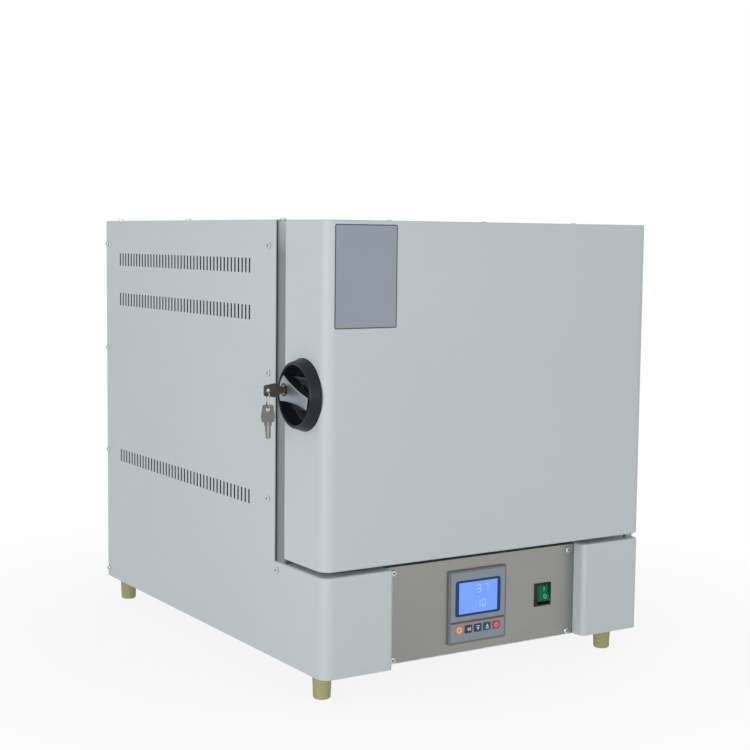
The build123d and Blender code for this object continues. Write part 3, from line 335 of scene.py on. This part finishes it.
# Inside the slots, their walls and the inner face that shows through them are painted near-black:
# painted shade for the dim inside of the cabinet.
slotted, slotted_colour = powder_coat("white_powder_coat_with_slot_shade")
slot_x, slot_y, _ = slotted.axes()
half_width, depth, pads_end = 250.0, 650.0, 150.0
skin_depth = 0.35 * mm
inside_sides = abs(slot_x - cabinet_middle) < half_width * mm - skin_depth
inside_back = slot_y < place(0, depth, 0).y - skin_depth
behind_pads = slot_y > place(0, pads_end, 0).y
slot_shade = inside_sides * inside_back * behind_pads
# Painted shade: the near-black colour of the slot walls and the inner face behind them.
slot_shade_colour = slotted.between(slotted.noise(60.0), (0.030, 0.031, 0.033), (0.050, 0.052, 0.055))
slotted.goes_to("Base Color", slotted.blend(slot_shade, slotted_colour, slot_shade_colour))
print("paint nodes:", len(paint.tree.nodes))

# %% [markdown]
# The control panel and the frame behind the door are stainless sheet with a brushed grain along
# its width. A noise stretched hundreds of times along x gives the grain, and it moves the tone and
# the roughness together, because a scratch is both darker and duller than the metal beside it. The
# frame's front edge, in the narrow gap beside the door, is painted darker as painted shade, and its
# top is painted palest, a painted highlight where light falls in from above.

# %% Brushed stainless
stainless = Finish("brushed_stainless", Metallic=1.0, Roughness=0.38, Anisotropic=0.5)
brushed = stainless.stretched((14.0, 900.0, 1500.0))
grain = stainless.noise(1.0, detail=6.0, roughness=0.7, along=brushed)
cloud = stainless.noise(6.0, detail=2.0)
stainless.goes_to("Base Color", stainless.between(
    grain * 0.7 + cloud * 0.3, (0.235, 0.238, 0.222), (0.345, 0.348, 0.326),
))
stainless.goes_to("Roughness", grain * 0.2 + 0.30)
stainless.relief(grain, 0.00002, 0.4)

frame_steel = Finish("dull_frame_sheet", Metallic=0.9, Roughness=0.45)
dulled = frame_steel.noise(1.0, detail=5.0, along=frame_steel.stretched((900.0, 900.0, 18.0)))
sheet_colour = frame_steel.between(dulled, (0.215, 0.232, 0.234), (0.285, 0.303, 0.305))
gap_shade_colour = frame_steel.between(dulled, (0.110, 0.118, 0.120), (0.150, 0.160, 0.162))
frame_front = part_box("front_frame")[0][1]
frame_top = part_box("front_frame")[1][2]
gap_shade_from, gap_shade_to, top_light_height = 0.2, 2.6, 42.0
_, frame_y, frame_z = frame_steel.axes()
behind_front = frame_y - frame_front
# Painted shade: the frame's front edge, in the gap beside the door, gets a darker colour.
gap_shade = (behind_front < gap_shade_to * mm) * (behind_front > gap_shade_from * mm)
# Painted highlight: the frame grows paler towards its top, where light falls in from above.
top_light = frame_steel.node("ShaderNodeMapRange", inputs={
    "Value": frame_z, "From Min": frame_top - top_light_height * mm, "From Max": frame_top,
    "To Min": 0.0, "To Max": 0.75,
})
top_light_colour = frame_steel.between(dulled, (0.46, 0.48, 0.50), (0.56, 0.58, 0.60))
with_top_light = frame_steel.blend(Amount(frame_steel, top_light.outputs[0]), sheet_colour, top_light_colour)
frame_steel.goes_to("Base Color", frame_steel.blend(gap_shade, with_top_light, gap_shade_colour))
frame_steel.goes_to("Roughness", dulled * 0.2 + 0.36)
print("stainless nodes:", len(stainless.tree.nodes))

# %% [markdown]
# Inner sheets are zinc-coated steel. The zinc freezes in crystals, so a cell pattern a few
# millimetres across changes the tone from one crystal to the next.

# %% Zinc-coated sheet
zinc = Finish("zinc_coat", Metallic=1.0, Roughness=0.42)
crystals = zinc.node("ShaderNodeTexVoronoi", inputs={"Vector": zinc.coordinates, "Scale": 110.0})
split = zinc.node("ShaderNodeSeparateColor", inputs={0: crystals.outputs["Color"]})
crystal = Amount(zinc, split.outputs[0])
zinc.goes_to("Base Color", zinc.between(crystal, (0.42, 0.43, 0.44), (0.56, 0.57, 0.58)))
zinc.goes_to("Roughness", crystal * 0.18 + 0.32)

# The inner casing is painted very dark: painted shade for the dim inside seen through the slots.
shaded_zinc = Finish("zinc_with_painted_shade", Metallic=0.6, Roughness=0.6)
casing_mottle = shaded_zinc.noise(30.0, detail=4.0)
shaded_zinc.goes_to("Base Color", shaded_zinc.between(casing_mottle, (0.050, 0.050, 0.052), (0.095, 0.094, 0.094)))
shaded_zinc.goes_to("Roughness", casing_mottle * 0.2 + 0.5)
print("zinc nodes:", len(zinc.tree.nodes))

# %% [markdown]
# Bolts, the shaft, the hook and the ring are bright plated steel with slight tarnish, and the keys
# are duller. The handle's blade has a satin plated face, a little darker and bluer, on a black
# grip. The lock in it is a dark sleeve round a brass core.

# %% Plated steel and satin casting
plated = Finish("bright_plating", Metallic=1.0, Roughness=0.3)
tarnish = plated.noise(240.0, detail=4.0)
plated.goes_to("Base Color", plated.between(tarnish, (0.30, 0.30, 0.29), (0.48, 0.48, 0.47)))
plated.goes_to("Roughness", tarnish * 0.25 + 0.2)

satin = Finish("satin_casting", Metallic=0.85, Roughness=0.34)
polish = satin.noise(1.0, detail=4.0, along=satin.stretched((300.0, 60.0, 500.0)))
satin_colour = satin.between(polish, (0.24, 0.27, 0.31), (0.34, 0.375, 0.42))
grip_colour = satin.between(polish, (0.010, 0.011, 0.014), (0.016, 0.018, 0.022))
face_depth = 2.2
grip = satin.axes()[0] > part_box("handle_blade")[0][0] + face_depth * mm
satin.goes_to("Base Color", satin.blend(grip, satin_colour, grip_colour))
satin.goes_to("Metallic", 0.85 - grip * 0.85)
satin.goes_to("Roughness", polish * 0.2 + 0.26)
satin.relief(polish, 0.00002, 0.4)

key_plate = Finish("worn_key_plating", Metallic=0.8, Roughness=0.4)
wear = key_plate.noise(160.0, detail=5.0)
key_plate.goes_to("Base Color", key_plate.between(wear, (0.060, 0.060, 0.052), (0.125, 0.122, 0.108)))
key_plate.goes_to("Roughness", wear * 0.3 + 0.28)

spare_plate = Finish("bright_key_plating", Metallic=0.8, Roughness=0.4)
rub = spare_plate.noise(160.0, detail=5.0)
# Down the middle of this key's blade, below its bow, a bright stripe is a painted highlight.
key_low, key_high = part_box("spare_key")
key_middle = [(low + high) / 2 for low, high in zip(key_low, key_high)]
askew = math.radians(18.0)
glint_half, bow_height = 0.9, 21.0
spare_x, spare_y, spare_z = spare_plate.axes()
sideways = (
    (spare_x - key_middle[0]) * math.cos(askew) - (spare_y - key_middle[1]) * math.sin(askew)
)
glint = (abs(sideways) < glint_half * mm) * (spare_z < key_high[2] - bow_height * mm)
bow_colour = spare_plate.between(rub, (0.125, 0.120, 0.106), (0.205, 0.198, 0.178))
glint_colour = spare_plate.between(rub, (0.30, 0.295, 0.275), (0.42, 0.41, 0.385))
spare_plate.goes_to("Base Color", spare_plate.blend(glint, bow_colour, glint_colour))
spare_plate.goes_to("Roughness", rub * 0.3 + 0.28)

dark_sleeve = Finish("dark_lock_sleeve", Metallic=0.9, Roughness=0.22)
stain = dark_sleeve.noise(300.0, detail=4.0)
dark_sleeve.goes_to("Base Color", dark_sleeve.between(stain, (0.040, 0.038, 0.034), (0.085, 0.080, 0.070)))
dark_sleeve.goes_to("Roughness", stain * 0.2 + 0.14)

brass = Finish("worn_brass", Metallic=1.0, Roughness=0.3)
smear = brass.noise(300.0, detail=4.0)
brass.goes_to("Base Color", brass.between(smear, (0.36, 0.27, 0.13), (0.52, 0.42, 0.24)))
brass.goes_to("Roughness", smear * 0.25 + 0.2)
print("plated finishes:", len((plated, satin, key_plate, spare_plate, dark_sleeve, brass)))

# %% [markdown]
# Moulded plastics and the rubber feet have a fine leather-like grain from the mould. One recipe
# serves them all: two close tones mixed by noise, a roughness that follows, and a fine relief.

# %% Moulded plastics and rubber
def moulded(name, dark, light, roughness, grain_scale=900.0, grain_depth=0.00004, **plain):
    """A plastic or rubber finish from two close tones and its gloss."""
    made = Finish(name, Roughness=roughness, **plain)
    shade = made.noise(grain_scale / 6, detail=3.0)
    made.goes_to("Base Color", made.between(shade, dark, light))
    made.goes_to("Roughness", shade * 0.12 + (roughness - 0.06))
    made.relief(made.noise(grain_scale, detail=1.0), grain_depth, 0.5)
    return made


dish_tones = (0.009, 0.011, 0.016), (0.015, 0.017, 0.024)
dish_black = moulded("dish_black", *dish_tones, 0.36, Specular_IOR_Level=0.22)
black = moulded("black_moulding", (0.007, 0.007, 0.008), (0.013, 0.013, 0.015), 0.42,
                Specular_IOR_Level=0.25)
olive = moulded("olive_rubber", (0.36, 0.352, 0.165), (0.48, 0.470, 0.235), 0.7, 500.0, 0.00008)
strip_grey = moulded("strip_grey", (0.20, 0.205, 0.205), (0.27, 0.275, 0.275), 0.7)
orange = moulded("orange_key", (0.80, 0.25, 0.05), (0.90, 0.31, 0.07), 0.32, 1500.0, 0.00001)
navy = moulded("navy_key", (0.013, 0.022, 0.055), (0.020, 0.032, 0.075), 0.32, 1500.0, 0.00001)
teal = moulded("teal_key", (0.012, 0.050, 0.065), (0.018, 0.065, 0.085), 0.32, 1500.0, 0.00001)
red = moulded("red_key", (0.56, 0.030, 0.045), (0.66, 0.042, 0.060), 0.32, 1500.0, 0.00001)
green = moulded("green_rocker", (0.001, 0.150, 0.060), (0.002, 0.205, 0.085), 0.2, 1500.0, 0.00001,
                Specular_IOR_Level=0.06)

# The bar across the dish has its face painted lighter than the dish, painted light, and its upper
# edge painted palest, a painted highlight.
dish_middle = place(-250.0, 50.5, 372.0)
bar_inwards, bar_skin, bar_half_length, bar_half_height, highlight_above = 1.2, 1.4, 33.0, 20.2, 18.6
dish_x, dish_y, dish_z = dish_black.axes()
at_bar_depth = abs(dish_x - (dish_middle.x + bar_inwards * mm)) < bar_skin * mm
along_bar = abs(dish_y - dish_middle.y) < bar_half_length * mm
across_bar = abs(dish_z - dish_middle.z) < bar_half_height * mm
# Painted light: the bar's face is coloured lighter than the rest of the dish.
lit_bar_face = at_bar_depth * across_bar * along_bar
# Painted highlight along the bar's upper edge.
edge_highlight = lit_bar_face * (dish_z > dish_middle.z + highlight_above * mm)
shade = dish_black.noise(150.0, detail=3.0)
plain_colour = dish_black.between(shade, *dish_tones)
bar_light_colour = dish_black.between(shade, (0.030, 0.032, 0.040), (0.042, 0.045, 0.055))
edge_highlight_colour = dish_black.between(shade, (0.13, 0.135, 0.15), (0.18, 0.185, 0.20))
with_bar_light = dish_black.blend(lit_bar_face, plain_colour, bar_light_colour)
dish_black.goes_to("Base Color", dish_black.blend(edge_highlight, with_bar_light, edge_highlight_colour))
print("moulded finishes:", len((dish_black, black, olive, strip_grey, orange, navy, teal, red, green)))

# %% [markdown]
# The insulation is rigid ceramic-fibre board: chalky, off-white, with short fibres and pits. The
# hearth, bushes and pipe are a denser fired ceramic, creamier and smoother.

# %% Insulation and ceramics
fibre = Finish("ceramic_fibre", Roughness=0.95, Specular_IOR_Level=0.1)
felt = fibre.noise(220.0, detail=6.0, roughness=0.7)
patch = fibre.noise(12.0, detail=3.0)
fibre.goes_to("Base Color", fibre.between(
    felt * 0.5 + patch * 0.5, (0.66, 0.62, 0.54), (0.84, 0.81, 0.74),
))
fibre.relief(felt, 0.0006, 0.6)

ceramic = Finish("fired_ceramic", Roughness=0.8, Specular_IOR_Level=0.25)
speck = ceramic.noise(420.0, detail=5.0)
ceramic.goes_to("Base Color", ceramic.between(speck, (0.58, 0.50, 0.38), (0.72, 0.65, 0.52)))
ceramic.relief(speck, 0.0002, 0.4)

scale_grey = Finish("oxidised_wire", Metallic=0.6, Roughness=0.6)
scale = scale_grey.noise(300.0, detail=5.0)
scale_grey.goes_to("Base Color", scale_grey.between(scale, (0.045, 0.040, 0.038), (0.13, 0.11, 0.10)))
scale_grey.goes_to("Roughness", scale * 0.3 + 0.45)

extruded = Finish("extruded_aluminium", Metallic=1.0, Roughness=0.4)
lines = extruded.noise(1.0, detail=4.0, along=extruded.stretched((700.0, 20.0, 700.0)))
extruded.goes_to("Base Color", extruded.between(lines, (0.52, 0.52, 0.53), (0.66, 0.66, 0.67)))
extruded.goes_to("Roughness", lines * 0.2 + 0.3)
print("inner finishes:", len((fibre, ceramic, scale_grey, extruded)))

# %% [markdown]
# The controller's front is a bluish film inside a grey moulded rim. The film's edge is a rounded
# rectangle, and its distance from the middle tells film from rim, so one finish serves the case.

# %% Controller case
def rounded_rectangle(finish, centre, half, radius):
    """1 inside a rounded rectangle on the front of the furnace, 0 outside; sizes in millimetres."""
    x, _, z = finish.axes()
    middle = place(centre[0], 0, centre[1])
    over_x = (abs(x - middle.x) - (half[0] - radius) * mm).larger(0.0)
    over_z = (abs(z - middle.z) - (half[1] - radius) * mm).larger(0.0)
    return (over_x ** 2.0 + over_z ** 2.0) ** 0.5 < radius * mm


film_half, film_y = (42.5, 44.4), 17.2
bezel = Finish("controller_case", Roughness=0.5)
film = rounded_rectangle(bezel, (-10.5, 94.5), film_half, 1.5)
film = film * (bezel.axes()[1] < place(0, film_y, 0).y)
mottle = bezel.noise(160.0, detail=3.0)
rim_colour = bezel.between(mottle, (0.145, 0.150, 0.142), (0.185, 0.190, 0.180))
film_colour = bezel.between(mottle, (0.245, 0.290, 0.335), (0.270, 0.318, 0.365))
bezel.goes_to("Base Color", bezel.blend(film, rim_colour, film_colour))
bezel.goes_to("Roughness", 0.52 - film * 0.12)
bezel.relief(bezel.noise(1200.0, detail=1.0), 0.00003, 0.4)
print("film width:", 2 * film_half[0], "mm")

# %% [markdown]
# The display is a lit blue panel behind a clear window with a dark blue printed border. The lit
# area glows a little by itself, and a clear coat over both gives the window's gloss.

# %% Display window
window = Finish("display_window", Roughness=0.3, Specular_IOR_Level=0.2, Coat_Weight=0.15,
                Coat_Roughness=0.08, Emission_Strength=0.56)
lit_half = (30.2, 20.0)
lit = rounded_rectangle(window, (-10.4, 105.4), lit_half, 0.8)
glow = window.noise(25.0, detail=1.0)
border = window.between(glow, (0.006, 0.040, 0.145), (0.009, 0.055, 0.175))
panel = window.between(glow, (0.10, 0.20, 0.62), (0.13, 0.24, 0.70))
window.goes_to("Base Color", window.blend(lit, border, panel))
dark = window.between(glow, (0.0, 0.0, 0.0), (0.001, 0.001, 0.002))
shine = window.between(glow, (0.17, 0.33, 0.95), (0.21, 0.39, 1.0))
window.goes_to("Emission Color", window.blend(lit, dark, shine))
print("lit area:", 2 * lit_half[0], "by", 2 * lit_half[1], "mm")

# %% [markdown]
# Each solid now gets its finish. The list goes by what each piece is made of, and the last line
# prints the names of any solids that it leaves out, so that none stays a plain grey.

# %% Dress the solids
finish_of = {
    paint: "top_cover door_shell",
    slotted: "left_side_panel right_side_panel rear_panel",
    zinc: "base_tray deck casing_rails upper_hinge_arm latch_keeper upper_hinge_block"
          " lower_hinge_block",
    shaded_zinc: "inner_casing",
    stainless: "control_panel door_inner_panel exhaust_spigot lower_hinge_pin",
    frame_steel: "front_frame",
    plated: "side_screws top_screws panel_screws foot_bolts hinge_pin_nut handle_shaft latch_hook"
            " key_ring",
    dark_sleeve: "lock_barrel",
    brass: "lock_plug",
    key_plate: "lock_key",
    spare_plate: "spare_key",
    satin: "handle_blade",
    dish_black: "handle_dish",
    black: "rocker_housing relay terminal_block cable_gland gland_nut",
    olive: "rubber_feet",
    strip_grey: "frame_top_strip",
    fibre: "throat_collar muffle muffle_rear_wall insulation_boards door_board door_plug"
           " door_gasket",
    ceramic: "hearth_plate element_bushes exhaust_pipe",
    scale_grey: "heating_elements thermocouple",
    extruded: "heat_sink",
    bezel: "controller_housing",
    window: "display_window",
    green: "rocker",
    orange: "push_key_1",
    navy: "push_key_2 push_key_3",
    teal: "push_key_4",
    red: "push_key_5",
}
dressed = set()
for finish, names in finish_of.items():
    for name in names.split():
        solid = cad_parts[name]
        solid.data.materials.clear()
        solid.data.materials.append(finish.material)
        dressed.add(name)
print("dressed:", len(dressed), "left plain:", sorted(set(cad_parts) - dressed))

# %% [markdown]
# The small pieces share three steps. A bmesh operator draws a flat shape, a face extrusion makes
# it a plate, and a matrix stands it up on the part that carries it. Turning the drawing a quarter
# turn about x sends its up to z and its thickness towards the front.

# %% Helpers for small pieces
upright = Matrix.Rotation(math.radians(90), 4, "X")


def thicken(mesh, faces, thickness):
    """Turns flat faces into plates by extruding them; the first face becomes the back."""
    grown = bmesh.ops.extrude_face_region(mesh, geom=faces)["geom"]
    points = [item for item in grown if isinstance(item, bmesh.types.BMVert)]
    bmesh.ops.translate(mesh, verts=points, vec=(0, 0, thickness * mm))
    bmesh.ops.recalc_face_normals(mesh, faces=mesh.faces)


def plate(width, height, thickness, corner=0.0):
    """A plate drawn about its middle, with round corners; sizes in millimetres."""
    mesh = bmesh.new()
    bmesh.ops.create_grid(mesh, x_segments=1, y_segments=1, size=0.5)
    bmesh.ops.scale(mesh, vec=(width * mm, height * mm, 1), verts=mesh.verts)
    if corner:
        bmesh.ops.bevel(mesh, geom=mesh.verts[:], offset=corner * mm, segments=5, profile=0.5,
                        affect="VERTICES", material=-1)
    thicken(mesh, mesh.faces[:], thickness)
    return mesh


def disc(radius, thickness, sides=32, hole=0.0):
    """A round or many-sided plate, with a hole if one is asked for."""
    mesh = bmesh.new()
    bmesh.ops.create_circle(mesh, segments=sides, radius=radius * mm, cap_ends=True)
    if hole:
        bmesh.ops.inset_region(mesh, faces=mesh.faces[:], thickness=(radius - hole) * mm,
                               use_boundary=True, use_even_offset=True)
        centre = [face for face in mesh.faces if len(face.verts) == sides]
        bmesh.ops.delete(mesh, geom=centre, context="FACES_ONLY")
    thicken(mesh, mesh.faces[:], thickness)
    return mesh


def joined_meshes(parts):
    """One bmesh from several, each with the matrix that puts it in place."""
    whole = bmesh.new()
    for part, matrix in parts:
        part.transform(matrix)
        carrier = bpy.data.meshes.new("carrier")
        part.to_mesh(carrier)
        part.free()
        whole.from_mesh(carrier)
        bpy.data.meshes.remove(carrier)
    return whole


def piece(mesh, name, finish, body, second=None):
    """Makes a bmesh a finished piece that rides on a body; faces of index 1 get the second finish."""
    data = bpy.data.meshes.new(name)
    mesh.to_mesh(data)
    mesh.free()
    data.materials.append(finish.material)
    if second:
        data.materials.append(second.material)
    made = bpy.data.objects.new(name, data)
    scene.collection.objects.link(made)
    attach(made, body)
    print(name, "faces:", len(data.polygons))
    return made


def standing(x, y, z):
    """The place of a plate that stands upright and faces the front."""
    return Matrix.Translation(place(x, y, z)) @ upright


# %% [markdown]
# Every cover is held by small pan head screws with a cross recess. One head is made and copied:
# a squat cylinder whose upper edge is rounded over, a shank below it, and a cross that is cut out.
# Where each copy goes is read from the solids: every separate shell of a screw solid is one screw.

# %% Screws
screw_plating = Finish("polished_screw_plating", Metallic=1.0, Roughness=0.2)
dull_spots = screw_plating.noise(300.0, detail=3.0)
screw_colour = screw_plating.between(dull_spots, (0.50, 0.50, 0.49), (0.72, 0.72, 0.71))
screw_plating.goes_to("Base Color", screw_colour)
screw_plating.goes_to("Roughness", dull_spots * 0.2 + 0.1)
# Painted shade: the cross recesses get a near-black finish of their own.
recess_shade = moulded("recess_shade", (0.010, 0.010, 0.010), (0.022, 0.021, 0.020), 0.6, 300.0)
head_r, head_h, head_round = 4.0, 2.4, 1.3
shank_r, shank_l = 1.9, 9.0
recess_length, recess_width, recess_depth = 4.6, 0.95, 1.3


def round_bar(radius, low, high, sides):
    """A closed round bar along z; sizes in millimetres."""
    mesh = bmesh.new()
    where = Matrix.Translation((0, 0, (low + high) / 2 * mm))
    bmesh.ops.create_cone(mesh, cap_ends=True, segments=sides, radius1=radius * mm,
                          radius2=radius * mm, depth=(high - low) * mm, matrix=where)
    return mesh


def cut(mesh, cutter):
    """One bmesh with the shape of another cut out of it."""
    made = []
    for source, name in ((mesh, "cut_body"), (cutter, "cut_tool")):
        data = bpy.data.meshes.new(name)
        source.to_mesh(data)
        source.free()
        made.append(bpy.data.objects.new(name, data))
        scene.collection.objects.link(made[-1])
    boolean = made[0].modifiers.new("cut", "BOOLEAN")
    boolean.operation = "DIFFERENCE"
    boolean.solver = "EXACT"
    boolean.object = made[1]
    evaluated = made[0].evaluated_get(bpy.context.evaluated_depsgraph_get())
    result = bpy.data.meshes.new_from_object(evaluated)
    whole = bmesh.new()
    whole.from_mesh(result)
    for item in made:
        bpy.data.objects.remove(item)
    bpy.data.meshes.remove(result)
    return whole


head = round_bar(head_r, 0.0, head_h, 28)
rim = [edge for edge in head.edges if all(vert.co.z > head_h * mm * 0.9 for vert in edge.verts)]
bmesh.ops.bevel(head, geom=rim, offset=head_round * mm, segments=4, profile=0.5, affect="EDGES",
                material=-1)
for degrees in (45, 135):
    arm = plate(recess_length, recess_width, 2.0)
    turn = Matrix.Rotation(math.radians(degrees), 4, "Z")
    arm.transform(Matrix.Translation((0, 0, (head_h - recess_depth) * mm)) @ turn)
    head = cut(head, arm)

# The recess faces are painted near-black: painted shade in the cross.
# The faces of the recess lie under the top, above the base and near the axis.
for face in head.faces:
    middle = face.calc_center_median()
    from_axis = Vector((middle.x, middle.y)).length
    below_top_above_base = 0.1 * mm < middle.z < (head_h - 0.03) * mm
    face.material_index = 1 if below_top_above_base and from_axis < 2.4 * mm else 0
shank = round_bar(shank_r, -shank_l, 0.02, 16)
screw_parts = bpy.data.meshes.new("screw")
joined_meshes([(head, Matrix()), (shank, Matrix())]).to_mesh(screw_parts)


def shells(name):
    """The lowest and highest corners of every separate shell of a solid."""
    mesh = bmesh.new()
    mesh.from_mesh(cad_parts[name].data)
    bmesh.ops.remove_doubles(mesh, verts=mesh.verts, dist=0.000001)
    waiting = set(mesh.verts)
    corners = []
    while waiting:
        shell, edge_of_shell = [], [waiting.pop()]
        while edge_of_shell:
            vert = edge_of_shell.pop()
            shell.append(vert.co.copy())
            near = {edge.other_vert(vert) for edge in vert.link_edges} & waiting
            waiting -= near
            edge_of_shell.extend(near)
        low, high = (Vector([pick(point[axis] for point in shell) for axis in range(3)])
                     for pick in (min, max))
        corners.append((low, high))
    mesh.free()
    return corners


def screws(name, outwards_of):
    """Detailed screws in the places of a solid's plain ones."""
    whole = bmesh.new()
    for low, high in shells(name):
        outwards = outwards_of((low + high) / 2)
        tip = Vector([
            high[i] if outwards[i] > 0 else low[i] if outwards[i] < 0 else (low[i] + high[i]) / 2
            for i in range(3)
        ])
        where = outwards.to_track_quat("Z", "Y").to_matrix().to_4x4()
        where = Matrix.Translation(tip - outwards * head_h * mm) @ where
        copy = screw_parts.copy()
        copy.transform(where)
        whole.from_mesh(copy)
        bpy.data.meshes.remove(copy)
    made = piece(whole, f"cross_{name}", screw_plating, "cabinet", recess_shade)
    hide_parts(name)


screws("side_screws", lambda middle: Vector((1 if middle.x > cabinet_middle else -1, 0, 0)))
screws("top_screws", lambda middle: Vector((0, 0, 1)))
screws("panel_screws", lambda middle: Vector((0, -1, 0)))

# %% [markdown]
# A thin metal plate is fixed high on the left of the door. It is kept plain: a bluish film with a
# dark line round its edge. The line is part of the finish, found by the distance from the edge,
# so it stays crisp at any zoom.

# %% Door plate
plate_centre = (-194.0, 513.5)
plate_half = (43.3, 61.1)
line_width = 1.3
plate_film = Finish("door_plate_film", Roughness=0.45, Specular_IOR_Level=0.35)
inside_half = (plate_half[0] - line_width, plate_half[1] - line_width)
inside = rounded_rectangle(plate_film, plate_centre, inside_half, 1.2)
sheen = plate_film.noise(14.0, detail=2.0)
line = plate_film.between(sheen, (0.075, 0.085, 0.105), (0.095, 0.105, 0.130))
blue_grey = plate_film.between(sheen, (0.300, 0.345, 0.405), (0.345, 0.392, 0.455))
plate_film.goes_to("Base Color", plate_film.blend(inside, line, blue_grey))
plate_film.goes_to("Roughness", sheen * 0.1 + 0.4)
piece(joined_meshes([(plate(2 * plate_half[0], 2 * plate_half[1], 0.3, 2.2),
                      standing(plate_centre[0], 1.0, plate_centre[1]))]),
      "door_plate", plate_film, "door")

# %% [markdown]
# The instrument shows two small numbers, lit paler than the panel behind them. Each digit is made
# of up to seven straight bars, as on the real display, so one table of lit bars draws each digit shown.

# %% Display digits
bar_places = {
    "top": (0, 1, 0), "middle": (0, 0, 0), "bottom": (0, -1, 0),
    "left_up": (-1, 0.5, 90), "right_up": (1, 0.5, 90),
    "left_low": (-1, -0.5, 90), "right_low": (1, -0.5, 90),
}
lit_bars = {
    "0": "top bottom left_up right_up left_low right_low",
    "1": "right_up right_low",
    "3": "top middle bottom right_up right_low",
    "7": "top right_up right_low",
}
digit_glow = Finish("digit_glow", Roughness=0.4, Emission_Strength=0.62)
flicker = digit_glow.noise(60.0, detail=1.0)
digit_glow.goes_to("Base Color", digit_glow.between(flicker, (0.18, 0.32, 0.72), (0.22, 0.36, 0.78)))
digit_glow.goes_to("Emission Color", digit_glow.between(flicker, (0.33, 0.55, 1.0), (0.38, 0.60, 1.0)))
digit_y, bar_width = 16.4, 1.1


def digit(figure, x, z, width, height):
    """The lit bars of one figure, each with its place on the window; sizes in millimetres."""
    parts = []
    for name in lit_bars[figure].split():
        side, rise, turn = bar_places[name]
        length = (height / 2 if turn else width) - bar_width * 0.6
        where = standing(x + side * width / 2, digit_y, z + rise * height / 2)
        parts.append((plate(length, bar_width, 0.06, 0.3),
                      where @ Matrix.Rotation(math.radians(turn), 4, "Z")))
    return parts


figures = (("3", -9.7, 115.7, 6.2, 9.4), ("7", 1.8, 115.9, 6.0, 9.4),
           ("1", -10.4, 96.8, 5.0, 9.2), ("0", -1.6, 96.8, 5.0, 9.2))
bars = [bar for figure in figures for bar in digit(*figure)]
piece(joined_meshes(bars), "display_digits", digit_glow, "cabinet")

# %% [markdown]
# A brown line is printed across the film under the window.

# %% Printed line
brown = moulded("brown_line", (0.095, 0.055, 0.036), (0.140, 0.080, 0.062), 0.5, 300.0, 0.00001)
piece(joined_meshes([(plate(84.2, 2.8, 0.06), standing(-10.4, 16.6, 74.9))]),
      "controller_line", brown, "cabinet")

# %% [markdown]
# Each push key carries a small printed mark. They are simple shapes: a ring, a triangle and a bar.
# A triangle is a circle with three sides, turned so that its point leads.

# %% Marks on the push keys
pale_print = moulded("pale_print", (0.60, 0.66, 0.72), (0.70, 0.75, 0.80), 0.5, 600.0, 0.00001)
pale_orange = moulded("pale_orange_print", (0.80, 0.52, 0.30), (0.86, 0.60, 0.38), 0.5, 600.0,
                      0.00001)
pale_red = moulded("pale_red_print", (0.80, 0.30, 0.32), (0.88, 0.40, 0.40), 0.5, 600.0, 0.00001)
key_places = [-39.8 + 14.65 * index for index in range(5)]
key_face, key_height = 15.8, 65.0
print_depth = 0.05


def turned(x, z, degrees):
    """A place on the keys' faces with a turn in the plane of the face."""
    return standing(x, key_face, key_height + z) @ Matrix.Rotation(math.radians(degrees), 4, "Z")


def ring(x, outer, inner):
    """A printed ring in the middle of a key."""
    return disc(outer, print_depth, hole=inner), turned(x, 0, 0)


def triangle(x, z, degrees):
    """A printed triangle; no turn points it up."""
    return disc(2.7, print_depth, sides=3), turned(x, z, degrees)


def stroke(x, z, width, height):
    """A printed bar."""
    return plate(width, height, print_depth, 0.3), turned(x, z, 0)


first, second, third, fourth, fifth = key_places
marks = {
    "key_1": (pale_orange, "orange_plastic", [ring(first, 3.9, 1.9)]),
    "key_2": (pale_print, "navy_plastic",
              [triangle(second - 0.3, 0, 90), stroke(second + 2.9, 0, 1.2, 5.0)]),
    "key_3": (pale_print, "navy_plastic",
              [triangle(third, -0.7, 180), stroke(third, 2.4, 5.2, 1.2)]),
    "key_4": (pale_print, "navy_plastic",
              [triangle(fourth, 0.7, 0), stroke(fourth, -2.4, 5.2, 1.2)]),
    "key_5": (pale_red, "red_plastic", [ring(fifth, 2.9, 1.5)]),
}
for body, (finish, slot, parts) in marks.items():
    piece(joined_meshes(parts), f"{body}_mark", finish, body)

# %% [markdown]
# The rocker's face is a shallow V that turns about a pin behind the panel. Its two marks lie on
# the two slopes, so each place is built up from the pin outwards: the pin, the rocker's tilt,
# the middle of a slope, and the slope's own angle.

# %% Marks on the rocker
pale_green = moulded("pale_green_print", (0.13, 0.42, 0.27), (0.18, 0.52, 0.36), 0.4, 600.0, 0.00001)
pin_place = place(97.3, 27.1, 94.4)
tilt, slope = math.radians(-12.0), math.atan2(1.6, 10.5)
fold_from_pin = 7.9
pivot = Matrix.Translation(pin_place) @ Matrix.Rotation(tilt, 4, "X")


def on_rocker(x, rise, upper):
    """A place on one slope of the rocker, rise millimetres from the fold of the V."""
    side = 1 if upper else -1
    angle = math.radians(90) + side * slope
    fold = Matrix.Translation(Vector((x, -fold_from_pin, 0)) * mm) @ Matrix.Rotation(angle, 4, "X")
    return pivot @ fold @ Matrix.Translation(Vector((0, side * rise, 0)) * mm)


piece(joined_meshes([(plate(1.5, 5.2, print_depth, 0.4), on_rocker(2.4, 5.3, True)),
                     (disc(2.9, print_depth, hole=1.5), on_rocker(2.6, 4.6, False))]),
      "rocker_marks", pale_green, "power_rocker")
